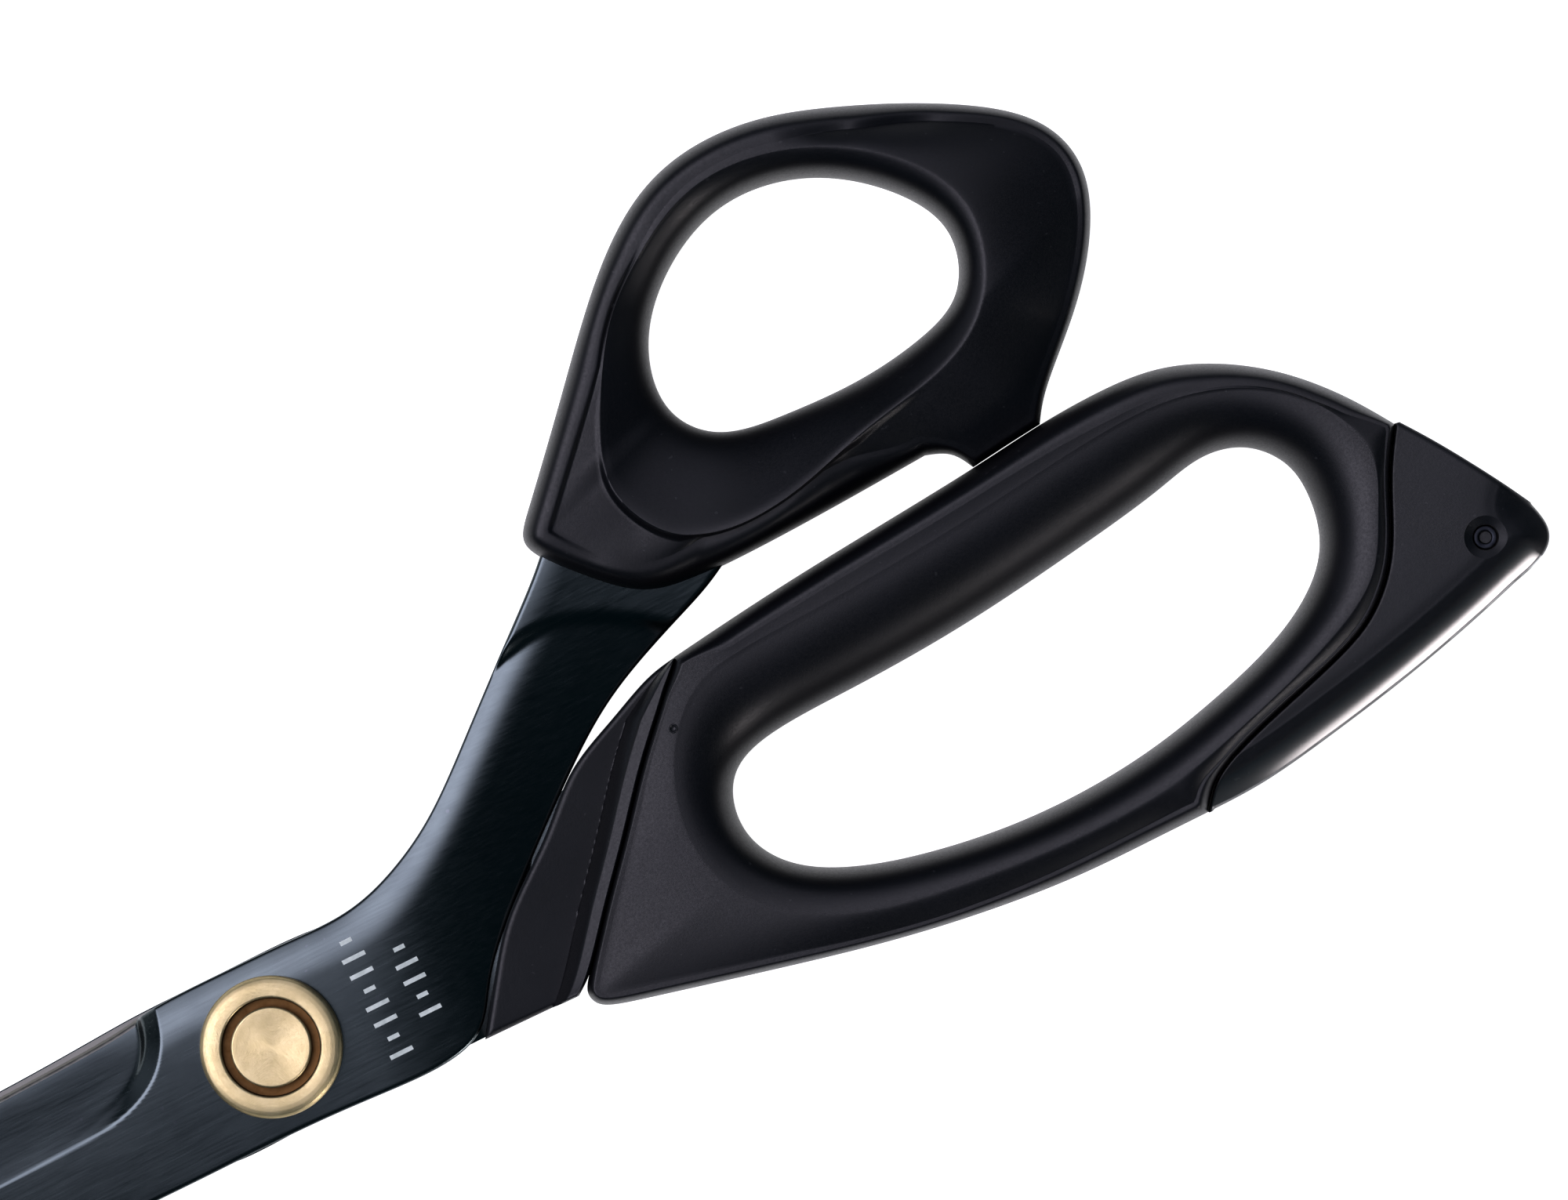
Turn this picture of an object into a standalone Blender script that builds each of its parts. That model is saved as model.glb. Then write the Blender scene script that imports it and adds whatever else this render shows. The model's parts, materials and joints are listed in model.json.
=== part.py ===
"""Fabric shears with moulded bows, 229 mm long, closed.

The shears lie on their side: +X runs along the closed blades from the tips to the tail, +Y points to
the thumb bow and +Z to the side with the brass pivot screw. The origin is under the middle of the box.
Shapes are drawn in millimetres around the pivot, with the blades' mating plane at z = 0, and hang on
one empty that stands on the pivot axis.
"""

from math import cos, pi, radians, sin

import bmesh
import bpy
import numpy as np

MM = 0.001

# Driving dimensions, in millimetres
PIVOT_PLACE = (-11.0, -18.8, 8.0)  # pivot axis and mating plane, seen from the origin
BLADE_THICKNESS = 3.6
MATING_GAP = 0.15  # from the mating plane to each blade's inner face
EDGE_THICKNESS = 0.5
HALF_HANDLE = 8.0  # half the thickness of the bows
HALF_CORE = 5.0
CORE_INSET = 2.4  # plastic between the core's ring and the bow's edges
HOLE_ROLL = 5.0  # how wide the bows' faces roll over towards their holes
THUMB_EDGE_ROLL = 3.4
FINGER_EDGE_ROLL = 2.8
HALF_COLLAR = 6.4
HALF_TONGUE = 1.5
FLANGE_LOW = 0.1
FLANGE_HIGH = 2.4
FIT = 0.3  # clearance between pieces that touch
RUNNING_FIT = 0.1

SHAFT_R = 2.6
BUSH_R = 3.7
HEAD_R = 3.6
HEAD_TOP = 5.2
BEZEL_R = 6.46
BEZEL_GROOVE_R = 4.67
WASHER_R = 5.7
WASHER_THICKNESS = 0.5
NUT_R = 5.4
NUT_THICKNESS = 2.4
SPRING_WASHER_THICKNESS = 0.35
SPRING_WASHER_RISE = 0.35

TAIL_PIN_AT = (120.3, -7.8)
TAIL_PIN_R = 1.15
TAIL_PIN_BORE_R = 0.5
TAIL_PIN_HALF = 5.4
TAIL_RECESS_R = 1.8
TAIL_RECESS_FLOOR = 5.0
TAIL_HALF_AT_SEAM = 6.4
TAIL_HALF_AT_BEVEL = 6.0
TAIL_HALF_AT_EDGE = 3.6
TAIL_BEVEL_WIDTH = 2.2

INNER_FACE = MATING_GAP
OUTER_FACE = MATING_GAP + BLADE_THICKNESS
PLUNGE_X = -8.0  # where the blades' ground bevels start

# Blades, as pairs of edge points (+Y side, -Y side) from the tip to the shoulder of the tang
THUMB_BLADE = [
    ((-103.2, -3.0), (-103.4, -3.5)), ((-95, -0.6), (-95, -4.4)), ((-80, 2.3), (-80, -5.7)),
    ((-60, 4.7), (-60, -6.9)), ((-40, 6.0), (-40, -7.6)), ((-22, 6.6), (-22, -7.9)),
    ((-12, 7.1), (-12, -8.0)), ((-8, 8.0), (-8, -8.0)), ((-1, 8.1), (1, -8.1)), ((5, 8.0), (8.5, -8.5)),
    ((10, 7.9), (13.8, -8.5)), ((14, 8.5), (17.6, -7.0)), ((18, 10.0), (20.6, -3.5)),
    ((22.5, 12.6), (25.4, 1.6)), ((29.0, 17.9), (35.2, 9.9)), ((35.8, 23.7), (43.2, 15.3)),
    ((41.0, 28.2), (51.6, 19.2)),
]
THUMB_TANG = [((44.4, 26.5), (47.7, 23.2)), ((48.4, 31.4), (52.4, 27.2)), ((51.6, 34.6), (55.6, 30.4))]
FINGER_BLADE = [
    ((-103.6, -2.4), (-103.1, -3.0)), ((-95, 0.5), (-95, -3.5)), ((-80, 3.3), (-80, -4.8)),
    ((-60, 5.6), (-60, -6.0)), ((-40, 7.0), (-40, -6.7)), ((-22, 7.5), (-22, -7.0)),
    ((-12, 8.0), (-12, -7.2)), ((-8, 8.1), (-8, -8.0)), ((0, 8.1), (0, -8.0)), ((8, 7.9), (8, -8.0)),
    ((15, 6.9), (14, -8.0)), ((22, 6.3), (19, -8.0)), ((29, 7.3), (23, -8.0)), ((35, 9.4), (25.6, -8.0)),
    ((39.0, 10.8), (26.7, -7.8)),
]
FINGER_TANG = [
    ((38.2, 8.8), (34.8, 3.7)), ((44.5, 12.0), (43.6, 7.8)), ((50.5, 13.4), (50.8, 9.4)),
    ((62.0, 13.6), (62.4, 10.2)),
]

# Bows, as hole and outline
THUMB_HOLE = [
    (88.9, 38.5), (87.4, 43.0), (82.2, 48.0), (76.0, 50.5), (69.5, 50.2), (63.0, 46.5), (59.3, 41.5),
    (58.7, 36.0), (61.8, 32.2), (68.0, 30.9), (75.5, 30.7), (82.5, 31.7), (87.0, 33.9),
]
THUMB_BOW = [
    (88.5, 20.0), (90.4, 22.2), (96.1, 27.7), (100.9, 34.1), (102.5, 39.6), (100.6, 44.8), (94.0, 49.8),
    (86.0, 53.6), (78.0, 56.2), (71.0, 56.6), (65.0, 54.9), (58.4, 50.1), (50.2, 41.4), (43.2, 33.8),
    (41.4, 31.4), (41.8, 29.6), (45.3, 25.4), (49.2, 22.2), (54.5, 21.1), (66.0, 21.2), (77.8, 21.8),
]
THUMB_HEEL = [(77.8, 21.8), (79.8, 21.0), (81.3, 19.2)]
THUMB_SPINE = ((69.0, 39.5), (78.5, 41.0))  # the hole's middle line, which rays to the outline start from
FINGER_HOLE = [
    (107.7, 3.5), (106.7, -1.5), (103.2, -5.4), (98.0, -8.1), (91.5, -10.1), (84.5, -11.6), (77.0, -12.3),
    (69.5, -12.1), (62.0, -11.0), (55.5, -9.2), (50.2, -6.2), (47.7, -1.8), (48.7, 2.8), (52.5, 5.0),
    (62.0, 5.65), (74.0, 6.3), (86.0, 7.8), (95.5, 9.4), (100.5, 10.3), (104.5, 9.3), (107.0, 6.6),
]
FINGER_END = [
    (48.9, 15.7), (47.0, 12.5), (42.9, 7.9), (38.3, 2.5), (34.3, -2.0), (30.0, -7.3), (28.9, -9.2),
    (29.9, -10.7), (33.0, -11.5), (45.0, -14.4), (58.0, -17.2), (71.6, -18.9), (80.5, -19.1), (86.4, -19.1),
]
TAIL_SEAM = [
    (86.4, -19.1), (88.2, -17.0), (91.0, -15.4), (98.0, -13.2), (104.5, -11.2), (108.0, -9.4),
    (111.0, -6.5), (113.0, -3.2), (115.2, 1.4), (117.6, 5.2),
]
FINGER_BACK = [
    (117.6, 5.2), (114.9, 9.2), (110.8, 13.7), (105.9, 17.2), (100.3, 19.4), (94.4, 19.9), (88.5, 19.6),
    (80.3, 18.7), (62.3, 17.1), (48.9, 15.7),
]
TAIL_EDGE = [
    (87.0, -19.1), (92.4, -18.9), (100.3, -17.7), (108.0, -16.2), (115.8, -14.3), (121.0, -12.8),
    (125.3, -10.8), (125.7, -7.4), (123.5, -2.9), (120.4, 2.2), (118.1, 5.3),
]
FINGER_SPINE = ((58.0, -2.2), (96.0, 0.5))
CORE_TONGUE = [(104.0, -8.2), (109.0, 2.0), (122.6, -5.6), (121.2, -9.6)]
CORE_NECK = [(45.0, 11.4), (33.4, -2.6), (39.0, -6.0), (44.6, 0.0), (46.2, 4.6), (52.0, 11.0)]
THUMB_NECK = [(44.4, 30.6), (50.4, 23.8), (60.0, 26.6), (57.6, 33.0), (54.0, 40.0)]
FLANGE = [
    (17.8, -7.9), (21.5, -3.3), (25.1, 0.9), (31.0, 5.8), (37.0, 10.6), (42.0, 12.9), (46.6, 14.7),
    (45.4, 11.8), (29.1, -6.9), (27.7, -8.0),
]
COLLAR = [(43.0, 13.2), (47.4, 15.1), (46.0, 12.2), (37.4, 2.2), (29.2, -7.4), (28.3, -6.7), (35.6, 3.9)]

BLADE_COATING = {"color": (0.020, 0.030, 0.034), "roughness": 0.35, "metallic": 0.6}
HANDLE_PLASTIC = {"color": (0.022, 0.021, 0.028), "roughness": 0.5, "metallic": 0.0}
BRASS = {"color": (0.72, 0.52, 0.25), "roughness": 0.28, "metallic": 1.0}
BRONZE = {"color": (0.42, 0.28, 0.14), "roughness": 0.4, "metallic": 1.0}
STEEL = {"color": (0.42, 0.43, 0.44), "roughness": 0.3, "metallic": 1.0}
FLUOROPLASTIC = {"color": (0.8, 0.8, 0.76), "roughness": 0.45, "metallic": 0.0}

SIDE_TURN = 2.0  # how much one straight side counts in around(), beside the pi of each end


# Curves

def spline(points, count, closed=False, even=True):
    """count points on the curve with continuous curvature through the points: evenly spaced, or else
    closer together where the points are."""
    given = np.array(points, float)
    if closed:
        given = np.vstack([given, given[:1]])
    knots = np.concatenate([[0], np.cumsum(np.sqrt(np.linalg.norm(np.diff(given, axis=0), axis=1)))])
    bends = second_derivatives(given, knots, closed)
    at = np.linspace(0, knots[-1], 40 * len(given) if even else count)
    i = np.clip(np.searchsorted(knots, at, side="right") - 1, 0, len(knots) - 2)
    h = (knots[i + 1] - knots[i])[:, None]
    b = (at - knots[i])[:, None] / h
    a = 1 - b
    fine = a * given[i] + b * given[i + 1] + ((a**3 - a) * bends[i] + (b**3 - b) * bends[i + 1]) * h * h / 6
    if not even:
        return fine
    run = np.concatenate([[0], np.cumsum(np.linalg.norm(np.diff(fine, axis=0), axis=1))])
    wanted = np.linspace(0, run[-1], count, endpoint=not closed)
    return np.stack([np.interp(wanted, run, fine[:, axis]) for axis in range(fine.shape[1])], axis=1)


def second_derivatives(given, knots, closed):
    """The curve's second derivatives at its knots: periodic if closed, else zero at both ends."""
    n = len(given)
    step = np.diff(knots)
    slope = np.diff(given, axis=0) / step[:, None]
    system = np.eye(n)
    right = np.zeros_like(given)
    for k in range(1, n - 1):
        system[k, k - 1 : k + 2] = step[k - 1], 2 * (step[k - 1] + step[k]), step[k]
        right[k] = 6 * (slope[k] - slope[k - 1])
    if closed:
        system[0, -1] = -1
        system[-1, [0, 1, -2, -1]] = 2 * step[0], step[0], step[-1], 2 * step[-1]
        right[-1] = 6 * (slope[0] - slope[-1])
    return np.linalg.solve(system, right)


def outline(runs, spacing):
    """A closed outline of smooth runs that meet at corners, with points about spacing apart on average."""
    parts = []
    for run in runs:
        length = np.linalg.norm(np.diff(np.array(run, float), axis=0), axis=1).sum()
        parts.append(spline(run, max(2, round(length / spacing) + 1), even=False)[:-1])
    return np.vstack(parts)


def grown(loop, distance):
    """A closed loop moved outwards by distance, whichever way round it runs."""
    ahead, behind = np.roll(loop, -1, axis=0), np.roll(loop, 1, axis=0)
    along = ahead - behind
    out = np.stack([along[:, 1], -along[:, 0]], axis=1)
    out /= np.linalg.norm(out, axis=1)[:, None]
    area = np.sum(loop[:, 0] * ahead[:, 1] - ahead[:, 0] * loop[:, 1])
    return loop + out * distance * np.sign(area)


def around(points, spine):
    """How far round the line segment spine each point lies: each end counts pi, each side SIDE_TURN."""
    start, end = np.array(spine, float)
    length = np.linalg.norm(end - start)
    along = (end - start) / length
    a = (points - start) @ along
    b = (points - start) @ np.array([-along[1], along[0]])
    past_end = SIDE_TURN + np.arctan2(b, a - length) + pi / 2
    before_start = 2 * SIDE_TURN + pi / 2 + np.mod(np.arctan2(b, a), 2 * pi)
    below = SIDE_TURN * a / length
    above = 2 * SIDE_TURN + pi - below
    beside = np.where(b < 0, below, above)
    return np.where(a < 0, before_start, np.where(a > length, past_end, beside))


def facing(hole, loop, spine):
    """The point of the hole that faces each point of the loop around the same spine."""
    fine = spline(hole, 720, closed=True)
    place = around(fine, spine)
    order = np.argsort(place)
    place, fine = place[order], fine[order]
    turn = 2 * SIDE_TURN + 2 * pi
    place = np.concatenate([place[-1:] - turn, place, place[:1] + turn])
    fine = np.vstack([fine[-1:], fine, fine[:1]])
    wanted = around(loop, spine)
    return np.stack([np.interp(wanted, place, fine[:, axis]) for axis in (0, 1)], axis=1)


# Solids

def material(name, color, roughness, metallic):
    made = bpy.data.materials.new(name)
    made.diffuse_color = (*color, 1)
    made.use_nodes = True
    shader = made.node_tree.nodes["Principled BSDF"]
    shader.inputs["Base Color"].default_value = (*color, 1)
    shader.inputs["Roughness"].default_value = roughness
    shader.inputs["Metallic"].default_value = metallic
    return made


def solid(name, points, faces, finish):
    """A closed mesh from points in millimetres, hung on the pivot, with its faces turned outwards."""
    mesh = bpy.data.meshes.new(name)
    mesh.from_pydata([tuple(MM * np.asarray(p, float)) for p in points], [], faces)
    shape = bmesh.new()
    shape.from_mesh(mesh)
    bmesh.ops.recalc_face_normals(shape, faces=shape.faces)
    if shape.calc_volume(signed=True) < 0:
        bmesh.ops.reverse_faces(shape, faces=shape.faces)
    shape.to_mesh(mesh)
    shape.free()
    mesh.shade_smooth()
    mesh.set_sharp_from_angle(angle=radians(35))
    if finish:
        mesh.materials.append(material(name, **finish))
    made = bpy.data.objects.new(name, mesh)
    bpy.context.collection.objects.link(made)
    made.parent = bpy.data.objects["pivot"]
    return made


def grid_faces(rows, columns, wrap_rows):
    """Quads over rows of points, each row a closed ring of columns points."""
    faces = []
    for r in range(rows if wrap_rows else rows - 1):
        for c in range(columns):
            n, d = (c + 1) % columns, (r + 1) % rows
            faces.append((r * columns + c, r * columns + n, d * columns + n, d * columns + c))
    return faces


def ring_solid(name, rings, finish):
    """A ring with a hole through it, from closed loops of points that go once round its section."""
    return solid(name, np.vstack(rings), grid_faces(len(rings), len(rings[0]), True), finish)


def strip_solid(name, sections, finish):
    """A bar from closed sections with equal numbers of points, with both ends capped."""
    rows, columns = len(sections), len(sections[0])
    faces = grid_faces(rows, columns, False)
    faces.append(tuple(range(columns)))
    faces.append(tuple(range((rows - 1) * columns, rows * columns)))
    return solid(name, np.vstack(sections), faces, finish)


def prism(name, loop, low, high, finish=None):
    """A flat plate between two heights."""
    loop = np.asarray(loop, float)
    sections = [np.column_stack([loop, np.full(len(loop), z)]) for z in (low, high)]
    return strip_solid(name, sections, finish)


def turned(name, profile, finish=None, at=(0, 0), steps=32):
    """A profile of (radius, height) points turned around the vertical axis: a ring if it is off axis."""
    rings = []
    for radius, height in profile:
        angles = [2 * pi * k / steps for k in range(steps)]
        rings.append([(at[0] + radius * cos(t), at[1] + radius * sin(t), height) for t in angles])
    return ring_solid(name, rings, finish)


def ring_profile(inner, outer, low, high):
    return [(inner, low), (outer, low), (outer, high), (inner, high)]


def disc(name, profile, finish=None, at=(0, 0), steps=32):
    """A solid turned piece, whose profile starts and ends with its flat ends."""
    angles = [2 * pi * k / steps for k in range(steps)]
    sections = [[(at[0] + r * cos(t), at[1] + r * sin(t), z) for t in angles] for r, z in profile]
    return strip_solid(name, sections, finish)


def combine(target, other, operation):
    """Cuts or joins a helper solid, which is then hidden."""
    other.hide_render = True
    other.display_type = "WIRE"
    change = target.modifiers.new(other.name, "BOOLEAN")
    change.operation = operation
    change.object = other


# Blades

def strip_edges(pairs, count):
    """Both edges of a strip, at stations that run along it together."""
    both = spline([(*left, *right) for left, right in pairs], count)
    return both[:, :2], both[:, 2:]


def blade_section(left, right, heights, side):
    """A blade's closed section, flat inside, with its outer face through the heights given across it."""
    shares, tops = zip(*heights)
    outer = [(*(left + share * (right - left)), side * top) for share, top in zip(shares, tops)]
    return outer + [(*right, side * INNER_FACE), (*left, side * INNER_FACE)]


def outer_heights(x, edge_first):
    """Heights across the outer face: a crowned shank and, past the plunge, a bevel down to the edge."""
    full = OUTER_FACE
    shank = [(0, full - 1.6), (0.07, full - 0.5), (0.2, full), (0.5, full), (0.8, full), (0.93, full - 0.5)]
    shank.append((1, full - 1.6))
    edge = INNER_FACE + EDGE_THICKNESS
    thin = full - 1.6 * np.clip((-60 - x) / 44, 0, 1)  # the spine thins towards the tip
    ground = [(0, edge), (0.07, edge + 0.14 * (thin - edge)), (0.25, edge + 0.5 * (thin - edge))]
    ground += [(0.5, thin), (0.8, thin), (0.93, thin), (1, thin - 0.4)]
    if not edge_first:
        ground = [(1 - share, top) for share, top in reversed(ground)]
    mix = np.clip((PLUNGE_X - x) / 4, 0, 1)
    mixed = []
    for (share_a, top_a), (share_b, top_b) in zip(shank, ground):
        mixed.append((share_a + mix * (share_b - share_a), top_a + mix * (top_b - top_a)))
    return mixed


def blade(name, pairs, tang, side, edge_first):
    left, right = strip_edges(pairs, 44)
    sections = []
    for a, b in zip(left, right):
        sections.append(blade_section(a, b, outer_heights((a[0] + b[0]) / 2, edge_first), side))
    flat = [(share, OUTER_FACE) for share in (0, 0.07, 0.2, 0.5, 0.8, 0.93, 1)]
    for a, b in zip(*strip_edges(tang, 5)):
        sections.append(blade_section(a, b, flat, side))
    return strip_solid(name, sections, BLADE_COATING)


def tang_cutter(name, pairs, side):
    """The tang with a clearance all round, and longer at both ends."""
    left, right = strip_edges(pairs, 6)
    across = (left - right) / np.linalg.norm(left - right, axis=1)[:, None]
    left, right = left + FIT * across, right - FIT * across
    for edge in (left, right):
        edge[0] += 3 * (edge[0] - edge[1]) / np.linalg.norm(edge[0] - edge[1])
        edge[-1] += FIT * (edge[-1] - edge[-2]) / np.linalg.norm(edge[-1] - edge[-2])
    low, high = sorted((side * (INNER_FACE - FIT), side * (OUTER_FACE + FIT)))
    sections = [[(*a, low), (*a, high), (*b, high), (*b, low)] for a, b in zip(left, right)]
    return strip_solid(name, sections, None)


def thumb_blade():
    made = blade("thumb_blade", THUMB_BLADE, THUMB_TANG, 1, True)
    combine(made, disc("thumb_shaft_hole", [(SHAFT_R + FIT, -1), (SHAFT_R + FIT, 8)]), "DIFFERENCE")
    seat = [(BEZEL_R + FIT, OUTER_FACE - 0.5), (BEZEL_R + FIT, 8)]
    combine(made, disc("bezel_seat", seat), "DIFFERENCE")


def finger_blade():
    made = blade("finger_blade", FINGER_BLADE, FINGER_TANG, -1, False)
    combine(made, disc("bush_hole", [(BUSH_R + RUNNING_FIT, -8), (BUSH_R + RUNNING_FIT, 1)]), "DIFFERENCE")
    floor = -INNER_FACE - WASHER_THICKNESS
    seat = [(WASHER_R + FIT, floor), (WASHER_R + FIT, 1)]
    combine(made, disc("washer_seat", seat), "DIFFERENCE")


# Bows

def rolled_ring(name, hole, loop, edge_roll, finish):
    """A bow whose section is flat on both faces and rolled round towards its hole and its outline."""
    edge_height = 1.5
    reach = loop - hole
    width = np.linalg.norm(reach, axis=1)[:, None]
    unit = reach / width
    turns = [radians(a) for a in (0, 35, 65, 90)]
    top = []
    for t in turns:
        roll = np.minimum(HOLE_ROLL, 0.45 * width) * (1 - cos(t))
        height = edge_height + (HALF_HANDLE - edge_height) * sin(t)
        top.append(np.column_stack([hole + unit * roll, np.full(len(hole), height)]))
    for t in reversed(turns):
        roll = np.minimum(edge_roll, 0.45 * width) * (1 - cos(t))
        height = edge_height + (HALF_HANDLE - edge_height) * sin(t)
        top.append(np.column_stack([loop - unit * roll, np.full(len(hole), height)]))
    bottom = [ring * (1, 1, -1) for ring in reversed(top)]
    return ring_solid(name, top + bottom, finish)


def flat_ring(name, hole, loop, half, finish):
    """A flat ring between a hole and a loop with matching points."""
    rings = [np.column_stack([edge, np.full(len(edge), z)]) for edge, z in
             ((hole, half), (loop, half), (loop, -half), (hole, -half))]
    return ring_solid(name, rings, finish)


def thumb_loops():
    loop = outline([THUMB_BOW, THUMB_HEEL, [THUMB_HEEL[-1], THUMB_BOW[0]]], 3.6)
    return facing(THUMB_HOLE, loop, THUMB_SPINE), loop


def finger_loops():
    loop = outline([FINGER_END, TAIL_SEAM, FINGER_BACK], 4.0)
    return facing(FINGER_HOLE, loop, FINGER_SPINE), loop


def core_ring(name, hole, loop, extra, finish):
    """The ring of a handle core, inset between hole and outline, and extra larger all round."""
    inset = CORE_INSET - extra
    return flat_ring(name, grown(hole, inset), grown(loop, -inset), HALF_CORE + extra, finish)


def neck_room(name, neck):
    """Room in a grip for the core's neck, just shallower than the room for its ring."""
    half = HALF_CORE + 0.9 * FIT
    return prism(name, grown(np.array(neck), FIT), -half, half)


def tongue_room(name):
    """Room in the finger grip and the tail cap for the core's tongue."""
    half = HALF_TONGUE + FIT
    return prism(name, grown(np.array(CORE_TONGUE), FIT), -half, half)


def tail_pin_hole(name, radius):
    return disc(name, [(radius, -12), (radius, 12)], at=TAIL_PIN_AT, steps=16)


def thumb_handle():
    hole, loop = thumb_loops()
    core = core_ring("thumb_core", hole, loop, 0, HANDLE_PLASTIC)
    combine(core, prism("thumb_neck", THUMB_NECK, 0.1 - HALF_CORE, HALF_CORE - 0.1), "UNION")
    combine(core, tang_cutter("thumb_tang_slot", THUMB_TANG, 1), "DIFFERENCE")
    grip = rolled_ring("thumb_grip", hole, loop, THUMB_EDGE_ROLL, HANDLE_PLASTIC)
    room = core_ring("thumb_core_room", hole, loop, FIT, None)
    combine(grip, room, "DIFFERENCE")
    combine(grip, neck_room("thumb_mouth", THUMB_NECK), "DIFFERENCE")
    combine(grip, tang_cutter("thumb_grip_slot", THUMB_TANG, 1), "DIFFERENCE")


def finger_handle():
    hole, loop = finger_loops()
    core = core_ring("finger_core", hole, loop, 0, HANDLE_PLASTIC)
    combine(core, prism("finger_neck", CORE_NECK, 0.1 - HALF_CORE, HALF_CORE - 0.1), "UNION")
    combine(core, prism("collar", COLLAR, -HALF_COLLAR, HALF_COLLAR), "UNION")
    combine(core, prism("flange", FLANGE, FLANGE_LOW, FLANGE_HIGH), "UNION")
    combine(core, prism("tongue", CORE_TONGUE, -HALF_TONGUE, HALF_TONGUE), "UNION")
    combine(core, tang_cutter("finger_tang_slot", FINGER_TANG, -1), "DIFFERENCE")
    combine(core, tail_pin_hole("tongue_hole", TAIL_PIN_R + FIT), "DIFFERENCE")
    grip = rolled_ring("finger_grip", hole, loop, FINGER_EDGE_ROLL, HANDLE_PLASTIC)
    room = core_ring("finger_core_room", hole, loop, FIT, None)
    combine(grip, room, "DIFFERENCE")
    combine(grip, neck_room("finger_mouth", CORE_NECK), "DIFFERENCE")
    combine(grip, tang_cutter("finger_grip_slot", FINGER_TANG, -1), "DIFFERENCE")
    combine(grip, tongue_room("finger_tongue_slot"), "DIFFERENCE")


def tail_cap():
    seam, edge = spline(TAIL_SEAM[::-1], 13), spline(TAIL_EDGE[::-1], 13)
    sections = []
    for inner, outer in zip(seam, edge):
        away = (outer - inner) / np.linalg.norm(outer - inner)
        inner = inner + FIT * away
        width = np.linalg.norm(outer - inner)
        bevel = outer - away * min(TAIL_BEVEL_WIDTH, 0.5 * width)
        top = [(*inner, TAIL_HALF_AT_SEAM), (*bevel, TAIL_HALF_AT_BEVEL), (*outer, TAIL_HALF_AT_EDGE)]
        sections.append(top + [(x, y, -z) for x, y, z in reversed(top)])
    made = strip_solid("tail_cap", sections, HANDLE_PLASTIC)
    combine(made, tongue_room("tail_tongue_slot"), "DIFFERENCE")
    combine(made, tail_pin_hole("tail_cap_hole", TAIL_PIN_R + FIT), "DIFFERENCE")
    mouth = [(TAIL_RECESS_R, TAIL_RECESS_FLOOR), (TAIL_RECESS_R, 9)]
    combine(made, disc("tail_recess", mouth, at=TAIL_PIN_AT, steps=24), "DIFFERENCE")


def tail_pin():
    profile = ring_profile(TAIL_PIN_BORE_R, TAIL_PIN_R, -TAIL_PIN_HALF, TAIL_PIN_HALF)
    turned("tail_pin", profile, STEEL, at=TAIL_PIN_AT, steps=16)


# Pivot, from the front to the back

def pivot_screw():
    under = OUTER_FACE + 0.55
    tail = -OUTER_FACE - 3.0
    profile = [(SHAFT_R - 0.3, tail), (SHAFT_R, tail + 0.3), (SHAFT_R, under), (HEAD_R, under)]
    disc("pivot_screw", profile + [(HEAD_R, HEAD_TOP - 0.2), (HEAD_R - 0.2, HEAD_TOP)], BRASS, steps=40)


def pivot_bezel():
    low = OUTER_FACE - 0.2
    floor = low + 0.5
    profile = [(SHAFT_R + FIT, low), (BEZEL_R, low), (BEZEL_R, 4.45), (6.15, 4.95), (5.6, 5.2), (5.05, 5.15)]
    profile += [(BEZEL_GROOVE_R, 4.85), (BEZEL_GROOVE_R, floor), (SHAFT_R + FIT, floor)]
    turned("pivot_bezel", profile, BRASS, steps=40)


def pivot_bush():
    high = -INNER_FACE - WASHER_THICKNESS - 0.2
    profile = ring_profile(SHAFT_R + RUNNING_FIT, BUSH_R, 0.1 - OUTER_FACE, high)
    turned("pivot_bush", profile, BRONZE, steps=40)


def blade_washer():
    profile = ring_profile(SHAFT_R + FIT, WASHER_R, -WASHER_THICKNESS, 0)
    turned("blade_washer", profile, FLUOROPLASTIC, steps=40)


def spring_washer():
    """A conical spring washer, wide end on the finger blade."""
    high = -OUTER_FACE - 0.2
    thick, rise = SPRING_WASHER_THICKNESS, SPRING_WASHER_RISE
    inner, outer = SHAFT_R + FIT, NUT_R
    profile = [(outer, high - thick), (outer, high), (inner, high - rise), (inner, high - rise - thick)]
    turned("spring_washer", profile, STEEL, steps=40)


def tension_nut():
    high = -OUTER_FACE - 0.2 - SPRING_WASHER_THICKNESS - SPRING_WASHER_RISE - 0.2
    low = high - NUT_THICKNESS
    bore = SHAFT_R + RUNNING_FIT
    profile = [(bore, high), (bore, low), (NUT_R - 0.6, low), (NUT_R, low + 0.6), (NUT_R, high)]
    made = turned("tension_nut", profile, BRASS, steps=40)
    half_slot, depth = 0.7, 0.9
    slot = [(-8, -half_slot), (8, -half_slot), (8, half_slot), (-8, half_slot)]
    combine(made, prism("coin_slot", slot, low - 1, low + depth), "DIFFERENCE")


def clear_scene():
    for thing in list(bpy.data.objects):
        bpy.data.objects.remove(thing)


def pivot_empty():
    made = bpy.data.objects.new("pivot", None)
    made.location = [MM * v for v in PIVOT_PLACE]
    bpy.context.collection.objects.link(made)


clear_scene()
pivot_empty()
for build_piece in (
    thumb_blade, finger_blade, thumb_handle, finger_handle, tail_cap, tail_pin, pivot_screw, pivot_bezel,
    pivot_bush, blade_washer, spring_washer, tension_nut,
):
    build_piece()
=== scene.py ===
"""Looks of the fabric shears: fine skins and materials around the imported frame.

Shapes are drawn in millimetres around the pivot axis, with the blades' mating plane at z = 0, and placed
in the frame by place(). The bows, the collar, the blades and the tail cap are lofts whose heights follow
from distances to their edges; the pivot pieces are turned.
"""
import json
from math import cos, pi, radians, sin

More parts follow.
